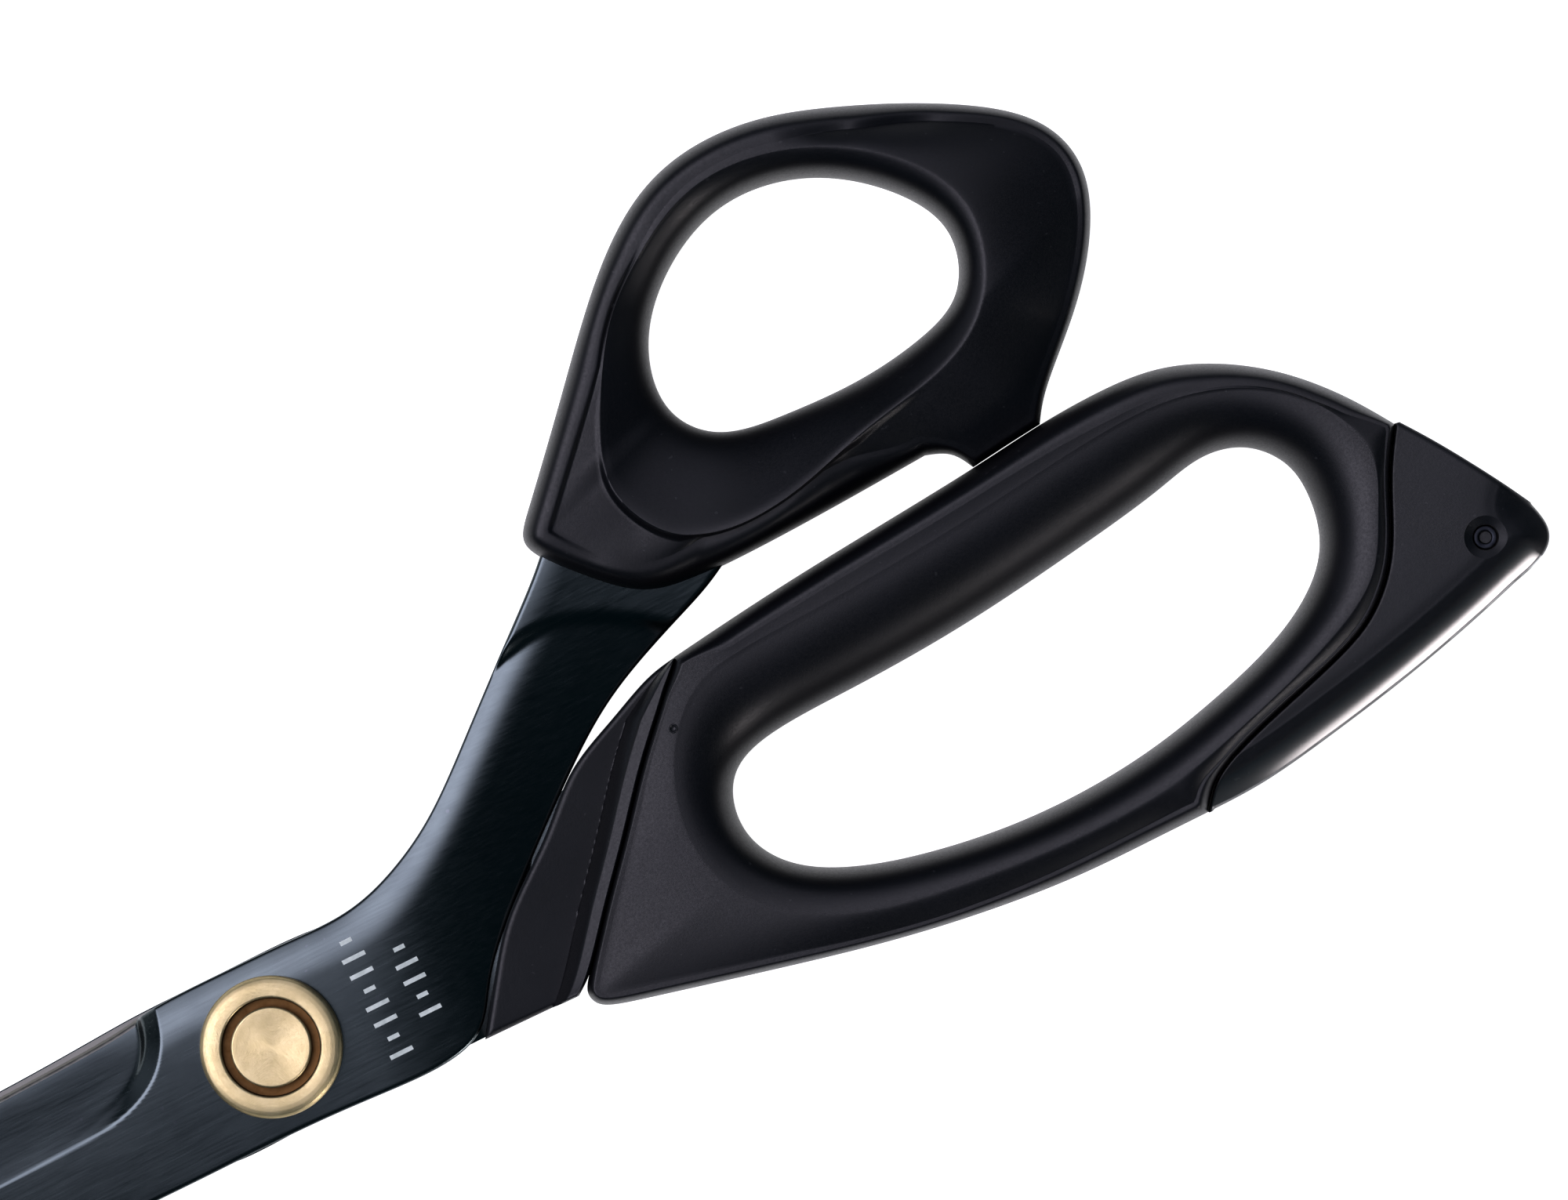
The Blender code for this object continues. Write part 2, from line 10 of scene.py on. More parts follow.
import bmesh
import bpy
import numpy as np
from mathutils import Matrix, Vector


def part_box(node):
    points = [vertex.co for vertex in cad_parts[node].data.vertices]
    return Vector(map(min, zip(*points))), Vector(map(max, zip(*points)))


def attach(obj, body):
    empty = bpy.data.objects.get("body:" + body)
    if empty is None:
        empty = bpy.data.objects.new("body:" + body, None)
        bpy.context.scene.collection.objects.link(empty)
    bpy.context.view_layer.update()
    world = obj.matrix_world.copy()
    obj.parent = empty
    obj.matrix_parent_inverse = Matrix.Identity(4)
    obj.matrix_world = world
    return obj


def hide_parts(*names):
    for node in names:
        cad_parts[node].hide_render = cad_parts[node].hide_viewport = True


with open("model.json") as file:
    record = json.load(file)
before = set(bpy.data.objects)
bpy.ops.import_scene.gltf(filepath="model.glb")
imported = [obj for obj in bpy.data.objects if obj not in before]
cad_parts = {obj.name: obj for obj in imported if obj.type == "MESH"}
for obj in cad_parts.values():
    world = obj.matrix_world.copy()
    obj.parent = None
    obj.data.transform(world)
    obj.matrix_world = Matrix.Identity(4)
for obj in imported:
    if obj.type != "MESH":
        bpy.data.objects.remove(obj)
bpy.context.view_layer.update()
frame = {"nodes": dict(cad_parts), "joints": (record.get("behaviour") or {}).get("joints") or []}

MM = 0.001
JOINTS = {joint["name"]: joint for joint in frame["joints"]}
PIVOT = Vector(JOINTS["blade_pivot"]["pos_m"])

# Heights above the mating plane, in millimetres
INNER_FACE = 0.15
OUTER_FACE = 3.75
EDGE_HIGH = 0.65  # outer height of a cutting edge
PARTING = 0.07  # half the width and the depth of the moulding line round the handles

BEZEL_R = 6.55
GROOVE_R = 4.52
HEAD_R = 3.72
TAIL_PIN_AT = (120.3, -7.8)
TAIL_RECESS = [(1.22, 5.0), (1.22, 6.0), (1.98, 6.34), (2.1, 9.0)]  # radius and height, from the floor up
TAIL_HIGH = 6.5
TAIL_BEVEL = 3.4  # width of the bevel along the tail's lower edge
SIDE_TURN = 2.0  # how much one straight side counts in around(), beside the pi of each end

# Bows: hole, crest line around it, runs of the outline, and the hole's middle line
THUMB_HOLE = [
    (88.9, 38.5), (87.4, 43.0), (82.2, 48.0), (76.0, 50.5), (69.5, 50.2), (63.0, 46.5), (59.3, 41.5),
    (58.7, 36.0), (61.8, 32.2), (68.0, 30.9), (75.5, 30.7), (82.5, 31.7), (87.0, 33.9),
]
THUMB_CREST = [
    (91.3, 38.7), (90.4, 43.3), (87.0, 47.7), (82.2, 51.0), (75.8, 53.1), (69.0, 52.9), (62.6, 49.8),
    (57.4, 45.5), (53.4, 39.2), (51.0, 33.2), (51.5, 29.4), (54.0, 25.8), (58.3, 23.9), (63.2, 23.8),
    (68.0, 24.7), (74.0, 26.4), (80.3, 27.7), (85.6, 29.6), (89.4, 33.2),
]
THUMB_RUNS = [
    [
        (88.5, 19.66), (90.4, 22.2), (96.1, 27.7), (100.9, 34.1), (102.5, 39.6), (100.6, 44.8), (94.0, 49.8),
        (86.0, 53.6), (78.0, 56.2), (71.0, 56.6), (65.0, 54.9), (58.4, 50.1), (50.2, 41.4), (43.2, 33.8),
        (41.4, 31.4), (41.8, 29.6), (45.3, 25.4), (49.2, 22.2), (54.5, 21.1), (66.0, 21.2), (77.8, 21.8),
    ],
    [(77.8, 21.8), (80.0, 20.8), (81.3, 18.86)],
    [(81.3, 18.86), (85.0, 19.3), (88.5, 19.66)],
]
THUMB_SPINE = ((69.0, 39.5), (78.5, 41.0))
FINGER_HOLE = [
    (107.7, 3.5), (106.7, -1.5), (103.2, -5.4), (98.0, -8.1), (91.5, -10.1), (84.5, -11.6), (77.0, -12.3),
    (69.5, -12.1), (62.0, -11.0), (55.5, -9.2), (50.2, -6.2), (47.7, -1.8), (48.7, 2.8), (52.5, 5.0),
    (62.0, 5.65), (74.0, 6.3), (86.0, 7.8), (95.5, 9.4), (100.5, 10.3), (104.5, 9.3), (107.0, 6.6),
]
FINGER_CREST = [
    (114.2, 3.2), (112.3, -1.6), (109.4, -6.2), (104.2, -9.4), (98.0, -11.7), (91.5, -13.6), (84.5, -15.2),
    (77.0, -15.7), (69.5, -15.4), (62.0, -14.6), (55.0, -13.2), (48.9, -10.4), (44.8, -6.4), (43.1, -1.8),
    (43.4, 3.2), (45.6, 8.2), (49.6, 12.0), (55.0, 13.3), (62.5, 13.6), (74.0, 14.3), (83.0, 15.2),
    (92.0, 16.2), (99.5, 16.3), (105.5, 14.8), (110.2, 11.8), (113.3, 7.6),
]
FINGER_END = [
    (48.9, 15.5), (46.3, 12.6), (42.0, 8.1), (37.4, 2.7), (33.4, -1.8), (30.3, -5.5), (28.5, -7.7),
    (28.1, -8.7), (28.5, -9.8), (29.9, -10.6), (33.0, -11.45), (45.0, -14.4), (58.0, -17.2), (71.6, -18.9),
    (80.5, -19.1), (86.4, -19.1),
]
TAIL_SEAM = [
    (86.4, -19.1), (88.2, -17.0), (91.0, -15.4), (98.0, -13.2), (104.5, -11.2), (108.0, -9.4),
    (111.0, -6.5), (113.0, -3.2), (115.2, 1.4), (117.6, 5.2),
]
FINGER_BACK = [
    (117.6, 5.2), (114.9, 9.2), (110.8, 13.7), (105.9, 17.2), (100.3, 19.4), (94.4, 19.9), (88.5, 19.6),
    (80.3, 18.7), (62.3, 17.1), (48.9, 15.5),
]
FINGER_RUNS = [FINGER_END, TAIL_SEAM, FINGER_BACK]
FINGER_SPINE = ((58.0, -2.2), (96.0, 0.5))
TAIL_LOWER = [(87.0, -19.1), (92.4, -18.9), (100.3, -17.7), (108.0, -16.2), (115.8, -14.3), (121.0, -12.8)]
TAIL_TIP = [(121.0, -12.8), (124.9, -11.4), (126.0, -9.6), (125.6, -7.0)]
TAIL_UPPER = [(125.6, -7.0), (123.3, -3.0), (120.1, 2.1), (117.95, 5.15)]

# Blades, as pairs of edge points (+Y side, -Y side) from the tip to inside the bow
THUMB_BLADE = [
    ((-103.2, -3.0), (-103.4, -3.5)), ((-95, -0.3), (-95, -4.4)), ((-80, 2.6), (-80, -5.7)),
    ((-60, 5.0), (-60, -6.9)), ((-40, 6.4), (-40, -7.6)), ((-22, 7.0), (-22, -7.9)),
    ((-12, 7.5), (-12, -8.0)), ((-8, 8.0), (-8, -8.0)), ((-1, 8.1), (1, -8.1)), ((5, 8.0), (8.5, -8.5)),
    ((10, 7.9), (13.8, -8.5)), ((14, 8.5), (17.8, -7.15)), ((18, 10.0), (20.6, -3.5)),
    ((22.5, 12.6), (25.4, 1.6)), ((29.0, 17.9), (35.2, 9.9)), ((35.8, 23.7), (43.2, 15.3)),
    ((41.0, 28.2), (51.2, 18.65)), ((43.6, 30.8), (55.0, 20.2)), ((46.5, 33.5), (58.6, 22.2)),
]
FINGER_BLADE = [
    ((-103.6, -2.4), (-103.1, -3.0)), ((-95, 0.5), (-95, -3.5)), ((-80, 3.3), (-80, -4.8)),
    ((-60, 5.6), (-60, -6.0)), ((-40, 7.0), (-40, -6.7)), ((-22, 7.5), (-22, -7.0)),
    ((-12, 8.0), (-12, -7.2)), ((-8, 8.1), (-8, -8.0)), ((0, 8.1), (0, -8.0)), ((8, 7.9), (8, -8.0)),
    ((15, 6.9), (14, -8.0)), ((22, 6.3), (19, -8.0)), ((29, 7.3), (23, -8.0)), ((35, 9.4), (25.6, -8.0)),
    ((39.0, 10.8), (26.7, -7.8)),
]


# Curves and distances

def spline(points, count, closed=False, even=True):
    """count points on the curve with continuous curvature through the points: evenly spaced, or else
    closer together where the points are."""
    given = np.array(points, float)
    if closed:
        given = np.vstack([given, given[:1]])
    knots = np.concatenate([[0], np.cumsum(np.sqrt(np.linalg.norm(np.diff(given, axis=0), axis=1)))])
    bends = second_derivatives(given, knots, closed)
    at = np.linspace(0, knots[-1], 60 * len(given) if even else count)
    i = np.clip(np.searchsorted(knots, at, side="right") - 1, 0, len(knots) - 2)
    h = (knots[i + 1] - knots[i])[:, None]
    b = (at - knots[i])[:, None] / h
    a = 1 - b
    fine = a * given[i] + b * given[i + 1] + ((a**3 - a) * bends[i] + (b**3 - b) * bends[i + 1]) * h * h / 6
    if not even:
        return fine
    run = np.concatenate([[0], np.cumsum(np.linalg.norm(np.diff(fine, axis=0), axis=1))])
    wanted = np.linspace(0, run[-1], count, endpoint=not closed)
    return np.stack([np.interp(wanted, run, fine[:, axis]) for axis in range(fine.shape[1])], axis=1)


def second_derivatives(given, knots, closed):
    """The curve's second derivatives at its knots: periodic if closed, else zero at both ends."""
    n = len(given)
    step = np.diff(knots)
    slope = np.diff(given, axis=0) / step[:, None]
    system = np.eye(n)
    right = np.zeros_like(given)
    for k in range(1, n - 1):
        system[k, k - 1 : k + 2] = step[k - 1], 2 * (step[k - 1] + step[k]), step[k]
        right[k] = 6 * (slope[k] - slope[k - 1])
    if closed:
        system[0, -1] = -1
        system[-1, [0, 1, -2, -1]] = 2 * step[0], step[0], step[-1], 2 * step[-1]
        right[-1] = 6 * (slope[0] - slope[-1])
    return np.linalg.solve(system, right)


def outline(runs, spacing):
    """A closed outline of smooth runs that meet at corners, with evenly spaced points on each."""
    parts = []
    for run in runs:
        length = np.linalg.norm(np.diff(np.array(run, float), axis=0), axis=1).sum()
        parts.append(spline(run, max(3, round(length / spacing) + 1))[:-1])
    return np.vstack(parts)


def around(points, spine):
    """How far round the line segment spine each point lies: each end counts pi, each side SIDE_TURN."""
    start, end = np.array(spine, float)
    length = np.linalg.norm(end - start)
    along = (end - start) / length
    a = (points - start) @ along
    b = (points - start) @ np.array([-along[1], along[0]])
    past_end = SIDE_TURN + np.arctan2(b, a - length) + pi / 2
    before_start = 2 * SIDE_TURN + pi / 2 + np.mod(np.arctan2(b, a), 2 * pi)
    below = SIDE_TURN * a / length
    above = 2 * SIDE_TURN + pi - below
    beside = np.where(b < 0, below, above)
    return np.where(a < 0, before_start, np.where(a > length, past_end, beside))


TURN = 2 * SIDE_TURN + 2 * pi  # all the way round in around()


def matched(loop, spine, wanted):
    """The points of a closed curve at the wanted places around the spine."""
    fine = spline(loop, 1800, closed=True)
    place_of = around(fine, spine)
    order = np.argsort(place_of)
    place_of, fine = place_of[order], fine[order]
    place_of = np.concatenate([place_of[-1:] - TURN, place_of, place_of[:1] + TURN])
    fine = np.vstack([fine[-1:], fine, fine[:1]])
    return np.stack([np.interp(wanted, place_of, fine[:, axis]) for axis in (0, 1)], axis=1)


def smooth(t):
    """0 to 1 with level ends, held beyond them."""
    t = np.clip(t, 0, 1)
    return t * t * (3 - 2 * t)


def varying(marks, spine, wanted):
    """A value that eases from mark to mark around the spine; a mark is (x, y, value)."""
    marks = np.array(marks, float)
    places = around(marks[:, :2], spine)
    order = np.argsort(places)
    places, values = places[order], marks[order, 2]
    places = np.concatenate([places[-1:] - TURN, places, places[:1] + TURN])
    values = np.concatenate([values[-1:], values, values[:1]])
    i = np.clip(np.searchsorted(places, wanted, side="right") - 1, 0, len(places) - 2)
    share = (wanted - places[i]) / (places[i + 1] - places[i])
    return values[i] + (values[i + 1] - values[i]) * smooth(share)


def distance(points, line, closed=False):
    """Distance from each point to a line of straight pieces."""
    start, end = line[:-1], line[1:]
    if closed:
        start, end = line, np.roll(line, -1, axis=0)
    run = end - start
    squared = (run**2).sum(axis=1)
    flat = points.reshape(-1, 2)
    found = np.empty(len(flat))
    for first in range(0, len(flat), 4000):
        away = flat[first : first + 4000, None, :] - start
        share = np.clip((away * run).sum(axis=2) / squared, 0, 1)
        away -= share[..., None] * run
        found[first : first + 4000] = np.sqrt((away**2).sum(axis=2).min(axis=1))
    return found.reshape(points.shape[:-1])


# Pieces

def place(points):
    """Millimetres around the pivot as metres in the frame."""
    return np.asarray(points, float) * MM + np.array(PIVOT)


def at_height(plan, high):
    """Plan points raised to one height."""
    return np.column_stack([plan, np.full(len(plan), high)])


def grid(rows, columns, closed_rows=False, closed_columns=False):
    """Quads over rows of points, columns to a row."""
    r = np.arange(rows if closed_rows else rows - 1)[:, None]
    c = np.arange(columns if closed_columns else columns - 1)[None, :]
    below, right = (r + 1) % rows, (c + 1) % columns
    corners = (r * columns + c, r * columns + right, below * columns + right, below * columns + c)
    return np.stack(corners, axis=-1).reshape(-1, 4).tolist()


def end_caps(rows, columns):
    """The first and the last row of a grid, each as one face."""
    return [list(range(columns)), list(range((rows - 1) * columns, rows * columns))]


def piece(name, points, faces, finish, body, crease):
    """A mesh piece from points in millimetres around the pivot, riding on its body."""
    mesh = bpy.data.meshes.new(name)
    centre = np.array(PIVOT, float)
    mesh.from_pydata((place(points) - centre).tolist(), [], faces)
    shape = bmesh.new()
    shape.from_mesh(mesh)
    bmesh.ops.recalc_face_normals(shape, faces=shape.faces)
    if shape.calc_volume(signed=True) < 0:
        bmesh.ops.reverse_faces(shape, faces=shape.faces)
    shape.to_mesh(mesh)
    shape.free()
    mesh.shade_smooth()
    mesh.set_sharp_from_angle(angle=radians(crease))
    mesh.materials.append(finish)
    made = bpy.data.objects.new(name, mesh)
    made.location = centre
    bpy.context.scene.collection.objects.link(made)
    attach(made, body)
    return made


# Materials

def new_material(name, color, roughness, metallic=0.0, specular=0.5):
    made = bpy.data.materials.new(name)
    made.use_nodes = True
    shader = made.node_tree.nodes["Principled BSDF"]
    shader.inputs["Base Color"].default_value = (*color, 1)
    shader.inputs["Roughness"].default_value = roughness
    shader.inputs["Metallic"].default_value = metallic
    shader.inputs["Specular IOR Level"].default_value = specular
    return made, made.node_tree, shader


def coordinates(tree, scale=(1, 1, 1), turn=0.0):
    """Object coordinates in millimetres, turned about Z and then stretched."""
    source = tree.nodes.new("ShaderNodeTexCoord")
    mapping = tree.nodes.new("ShaderNodeMapping")
    mapping.vector_type = "POINT"
    mapping.inputs["Rotation"].default_value = (0, 0, turn)
    mapping.inputs["Scale"].default_value = [1000 * s for s in scale]
    tree.links.new(source.outputs["Object"], mapping.inputs["Vector"])
    return mapping.outputs["Vector"]


def noise(tree, vector, scale, detail=3.0, rough=0.55):
    made = tree.nodes.new("ShaderNodeTexNoise")
    made.inputs["Scale"].default_value = scale
    made.inputs["Detail"].default_value = detail
    made.inputs["Roughness"].default_value = rough
    tree.links.new(vector, made.inputs["Vector"])
    return made.outputs["Fac"]


def ramp(tree, value, stops):
    """A colour ramp from (position, colour) stops; a number stands for a grey."""
    made = tree.nodes.new("ShaderNodeValToRGB")
    while len(made.color_ramp.elements) < len(stops):
        made.color_ramp.elements.new(0.5)
    for element, (position, color) in zip(made.color_ramp.elements, stops):
        element.position = position
        element.color = (*color, 1) if isinstance(color, tuple) else (color, color, color, 1)
    tree.links.new(value, made.inputs["Fac"])
    return made.outputs["Color"]


def bump(tree, shader, heights):
    """Stacks bumps: each height is (value, depth in millimetres, strength)."""
    normal = None
    for value, depth, strength in heights:
        made = tree.nodes.new("ShaderNodeBump")
        made.inputs["Distance"].default_value = depth * MM
        made.inputs["Strength"].default_value = strength
        tree.links.new(value, made.inputs["Height"])
        if normal:
            tree.links.new(normal, made.inputs["Normal"])
        normal = made.outputs["Normal"]
    tree.links.new(normal, shader.inputs["Normal"])


def specks(tree, tint, mask, color, shader):
    """Gives a shader its tint, with specks of another colour where the mask is white."""
    mix = tree.nodes.new("ShaderNodeMix")
    mix.data_type = "RGBA"
    mix.inputs["B"].default_value = (*color, 1)
    tree.links.new(mask, mix.inputs["Factor"])
    tree.links.new(tint, mix.inputs["A"])
    tree.links.new(mix.outputs["Result"], shader.inputs["Base Color"])


def moulded_plastic(name, dark, light, roughness, specular):
    """Black moulded plastic: fine spark-eroded texture, cloudy gloss and a few pale specks of dust."""
    made, tree, shader = new_material(name, dark, roughness, specular=specular)
    here = coordinates(tree)
    cloud = noise(tree, here, 0.11, detail=4)
    fine = noise(tree, here, 4.5, detail=3, rough=0.7)
    dust = noise(tree, here, 1.7, detail=1, rough=0.3)
    tint = ramp(tree, cloud, [(0.3, dark), (0.72, light)])
    specks(tree, tint, ramp(tree, dust, [(0.77, 0.0), (0.8, 1.0)]), (0.022, 0.022, 0.025), shader)
    gloss = ramp(tree, fine, [(0.25, roughness - 0.07), (0.75, roughness + 0.09)])
    tree.links.new(gloss, shader.inputs["Roughness"])
    bump(tree, shader, [(fine, 0.02, 0.35), (cloud, 0.15, 0.12)])
    return made


def polish(finish, weight, roughness, ior):
    """A clear, smoother skin over a material."""
    shader = finish.node_tree.nodes["Principled BSDF"]
    shader.inputs["Coat IOR"].default_value = ior
    shader.inputs["Coat Weight"].default_value = weight
    shader.inputs["Coat Roughness"].default_value = roughness


def coated_steel(name, dark, light, roughness):
    """Black coating on ground steel: grinding marks along the blade, faint clouds, tiny pale nicks."""
    made, tree, shader = new_material(name, dark, roughness, metallic=1.0)
    here = coordinates(tree)
    marks = noise(tree, coordinates(tree, scale=(0.08, 1.6, 1.6)), 3.0, detail=5, rough=0.6)
    cloud = noise(tree, here, 0.16, detail=3)
    nick = noise(tree, here, 1.1, detail=1, rough=0.2)
    tint = ramp(tree, cloud, [(0.3, dark), (0.7, light)])
    specks(tree, tint, ramp(tree, nick, [(0.79, 0.0), (0.81, 1.0)]), (0.11, 0.12, 0.13), shader)
    gloss = ramp(tree, marks, [(0.3, roughness - 0.03), (0.7, roughness + 0.05)])
    tree.links.new(gloss, shader.inputs["Roughness"])
    bump(tree, shader, [(marks, 0.008, 0.2), (cloud, 0.1, 0.08)])
    return made


def turned_metal(name, dark, light, roughness, rings):
    """Metal with turning marks around the pivot axis, and patchy tarnish."""
    made, tree, shader = new_material(name, dark, roughness, metallic=1.0)
    shader.inputs["Anisotropic"].default_value = 0.6
    here = coordinates(tree)
    wave = tree.nodes.new("ShaderNodeTexWave")
    wave.wave_type = "RINGS"
    wave.rings_direction = "Z"
    wave.inputs["Scale"].default_value = rings
    wave.inputs["Distortion"].default_value = 0.6
    wave.inputs["Detail"].default_value = 2.0
    tree.links.new(here, wave.inputs["Vector"])
    patch = noise(tree, here, 0.5, detail=4)
    grain = noise(tree, here, 6.0, detail=2)
    tint = ramp(tree, patch, [(0.3, dark), (0.68, light)])
    tree.links.new(tint, shader.inputs["Base Color"])
    gloss = ramp(tree, grain, [(0.3, roughness - 0.06), (0.7, roughness + 0.08)])
    tree.links.new(gloss, shader.inputs["Roughness"])
    shader.inputs["Anisotropic Rotation"].default_value = 0.25
    tangent = tree.nodes.new("ShaderNodeTangent")
    tangent.direction_type = "RADIAL"
    tangent.axis = "Z"
    tree.links.new(tangent.outputs["Tangent"], shader.inputs["Tangent"])
    bump(tree, shader, [(wave.outputs["Fac"], 0.01, 0.3), (grain, 0.01, 0.15)])
    return made


def plain_grain(name, dark, light, roughness, metallic):
    """A hidden or small piece's material: two tones in fine grain."""
    made, tree, shader = new_material(name, dark, roughness, metallic=metallic)
    here = coordinates(tree)
    grain = noise(tree, here, 1.2, detail=4)
    tree.links.new(ramp(tree, grain, [(0.3, dark), (0.7, light)]), shader.inputs["Base Color"])
    gloss = ramp(tree, grain, [(0.3, roughness - 0.06), (0.7, roughness + 0.08)])
    tree.links.new(gloss, shader.inputs["Roughness"])
    bump(tree, shader, [(grain, 0.02, 0.3)])
    return made


grip_plastic = moulded_plastic("grip_plastic", (0.0026, 0.0026, 0.0048), (0.0050, 0.0050, 0.0085), 0.42, 0.52)
core_plastic = moulded_plastic("core_plastic", (0.0025, 0.0030, 0.0052), (0.0048, 0.0056, 0.0090), 0.42, 0.52)
tail_polish = moulded_plastic("tail_polish", (0.0025, 0.0030, 0.0052), (0.0048, 0.0056, 0.0090), 0.36, 0.52)
polish(tail_polish, 1.0, 0.15, 1.8)
blade_coating = coated_steel("blade_coating", (0.088, 0.101, 0.106), (0.102, 0.117, 0.121), 0.23)
brass = turned_metal("pivot_brass", (0.47, 0.39, 0.235), (0.55, 0.465, 0.295), 0.42, 3.2)
# painted shade: a dark brown brass that stands in for the shade inside the bezel's groove
groove_painted_shade = plain_grain("groove_painted_shade", (0.10, 0.055, 0.022), (0.20, 0.12, 0.055), 0.5, 1.0)
bronze = turned_metal("bush_bronze", (0.36, 0.23, 0.11), (0.48, 0.32, 0.17), 0.38, 3.0)
nut_brass = turned_metal("nut_brass", (0.66, 0.47, 0.24), (0.80, 0.61, 0.36), 0.30, 3.0)
spring_steel = turned_metal("spring_steel", (0.34, 0.35, 0.36), (0.48, 0.49, 0.50), 0.28, 4.0)
pin_metal = plain_grain("pin_metal", (0.018, 0.020, 0.026), (0.045, 0.048, 0.058), 0.4, 1.0)
honed_steel = plain_grain("honed_steel", (0.17, 0.165, 0.155), (0.23, 0.225, 0.21), 0.46, 1.0)
washer_plastic = plain_grain("washer_plastic", (0.70, 0.70, 0.66), (0.82, 0.82, 0.78), 0.42, 0.0)
print_paint = plain_grain("print_paint", (0.46, 0.50, 0.47), (0.66, 0.69, 0.66), 0.5, 0.0)


# Bows

# Values that ease around each bow, as (x, y, value) marks; lengths are in millimetres
THUMB_EASE = {
    # flank width, measured in from the outline
    "flank": [
        (41.4, 31.4, 2.3), (45.3, 25.4, 2.0), (49.2, 22.2, 2.2), (54.5, 21.1, 2.8), (66.0, 21.2, 3.0),
        (77.8, 21.8, 1.4), (81.3, 19.2, 0.7), (85.0, 19.6, 0.7), (88.5, 20.0, 0.7), (93.0, 24.5, 0.7),
        (99.0, 32.0, 0.8), (102.5, 39.6, 0.9), (94.0, 49.8, 1.3), (86.0, 53.6, 1.9), (78.0, 56.2, 2.2),
        (65.0, 54.9, 2.3), (58.4, 50.1, 2.4), (50.2, 41.4, 2.5),
    ],
    # step up from the panel to the flank
    "step": [
        (41.4, 31.4, 0.28), (45.3, 25.4, 0.0), (62.0, 53.0, 0.0), (56.0, 47.7, 0.24), (50.2, 41.4, 0.28),
    ],
    # step down outside the crest
    "lip": [
        (53.4, 42.0, 0.0), (43.0, 33.4, 0.15), (41.8, 29.6, 0.6), (47.0, 23.8, 1.0), (54.5, 21.1, 1.1),
        (66.0, 21.2, 0.9), (77.8, 21.8, 0.3), (86.0, 19.5, 0.0),
    ],
    "crest": [
        (50.2, 41.4, 7.35), (43.2, 33.8, 7.4), (41.8, 29.6, 7.7), (49.2, 22.2, 8.0), (78.0, 56.2, 8.0),
        (65.0, 54.9, 7.9), (56.0, 47.7, 7.5),
    ],
    # height where the flank starts
    "shoulder": [
        (50.2, 41.4, 7.3), (41.4, 31.4, 7.2), (45.3, 25.4, 7.1), (54.5, 21.1, 6.5), (66.0, 21.2, 6.5),
        (77.8, 21.8, 7.3), (88.5, 20.0, 7.4), (95.0, 27.0, 6.2), (102.5, 39.6, 4.4), (94.0, 49.8, 5.4),
        (86.0, 53.6, 6.9), (78.0, 56.2, 7.95), (65.0, 54.9, 7.85), (56.0, 47.7, 7.35),
    ],
    # share of straight slope in the roll down to the hole
    "slope": [
        (41.4, 31.4, 0.42), (54.5, 21.1, 0.44), (77.8, 21.8, 0.34), (102.5, 39.6, 0.12), (78.0, 56.2, 0.14),
        (56.0, 47.7, 0.24),
    ],
    # how late the roll falls off to the hole: 2 is an ellipse
    "roll": [
        (41.4, 31.4, 5.0), (54.5, 21.1, 5.0), (77.8, 21.8, 4.0), (102.5, 39.6, 3.0), (78.0, 56.2, 3.0),
        (56.0, 47.7, 3.6),
    ],
    # how square the flank's curve is: 2 is an ellipse
    "square": [
        (41.4, 31.4, 3.4), (45.3, 25.4, 3.0), (54.5, 21.1, 2.6), (88.5, 20.0, 2.6), (102.5, 39.6, 2.4),
        (86.0, 53.6, 2.6), (78.0, 56.2, 3.2), (56.0, 47.7, 3.4),
    ],
}
FINGER_EASE = {
    "flank": [
        (48.9, 15.7, 1.0), (46.3, 12.6, 0.5), (37.4, 2.7, 0.5), (30.3, -5.5, 0.6), (28.5, -9.8, 0.8),
        (33.0, -11.5, 0.8), (58.0, -17.2, 0.7), (80.5, -19.1, 1.2), (86.2, -19.1, 1.2), (90.0, -15.9, 0.6),
        (104.5, -11.2, 0.5), (113.0, -3.2, 0.5), (117.4, 5.0, 0.6), (114.9, 9.2, 1.4), (105.9, 17.2, 2.2),
        (94.4, 19.9, 2.4), (80.3, 18.7, 2.0), (62.3, 17.1, 1.9), (54.0, 16.3, 1.8),
    ],
    "step": [(38.3, 2.5, 0.0)],
    "lip": [(38.3, 2.5, 0.0)],
    "crest": [
        (37.4, 2.7, 7.85), (29.9, -10.6, 7.9), (58.0, -17.2, 7.9), (80.5, -19.1, 8.0), (113.0, -3.2, 8.0),
        (105.9, 17.2, 7.9), (80.3, 18.7, 7.88), (54.0, 16.3, 7.85),
    ],
    "shoulder": [
        (46.3, 12.6, 7.8), (37.4, 2.7, 7.6), (28.5, -9.8, 7.2), (58.0, -17.2, 7.1), (80.5, -19.1, 7.2),
        (90.0, -15.9, 7.5), (104.5, -11.2, 7.4), (113.0, -3.2, 7.4), (114.9, 9.2, 7.7),
        (105.9, 17.2, 7.85), (94.4, 19.9, 7.95), (80.3, 18.7, 8.0), (54.0, 16.3, 7.9),
    ],
    "slope": [
        (46.3, 12.6, 0.05), (29.9, -10.6, 0.05), (80.5, -19.1, 0.06), (113.0, -3.2, 0.04), (80.3, 18.7, 0.06),
    ],
    "roll": [
        (46.3, 12.6, 2.5), (29.9, -10.6, 2.9), (80.5, -19.1, 2.7), (113.0, -3.2, 2.5), (80.3, 18.7, 2.3),
    ],
    "square": [
        (37.4, 2.7, 2.2), (29.9, -10.6, 2.4), (80.5, -19.1, 2.4), (90.0, -15.9, 2.2),
        (113.0, -3.2, 2.2), (105.9, 17.2, 2.8), (94.4, 19.9, 2.8), (80.3, 18.7, 2.4), (62.3, 17.1, 2.4),
    ],
}
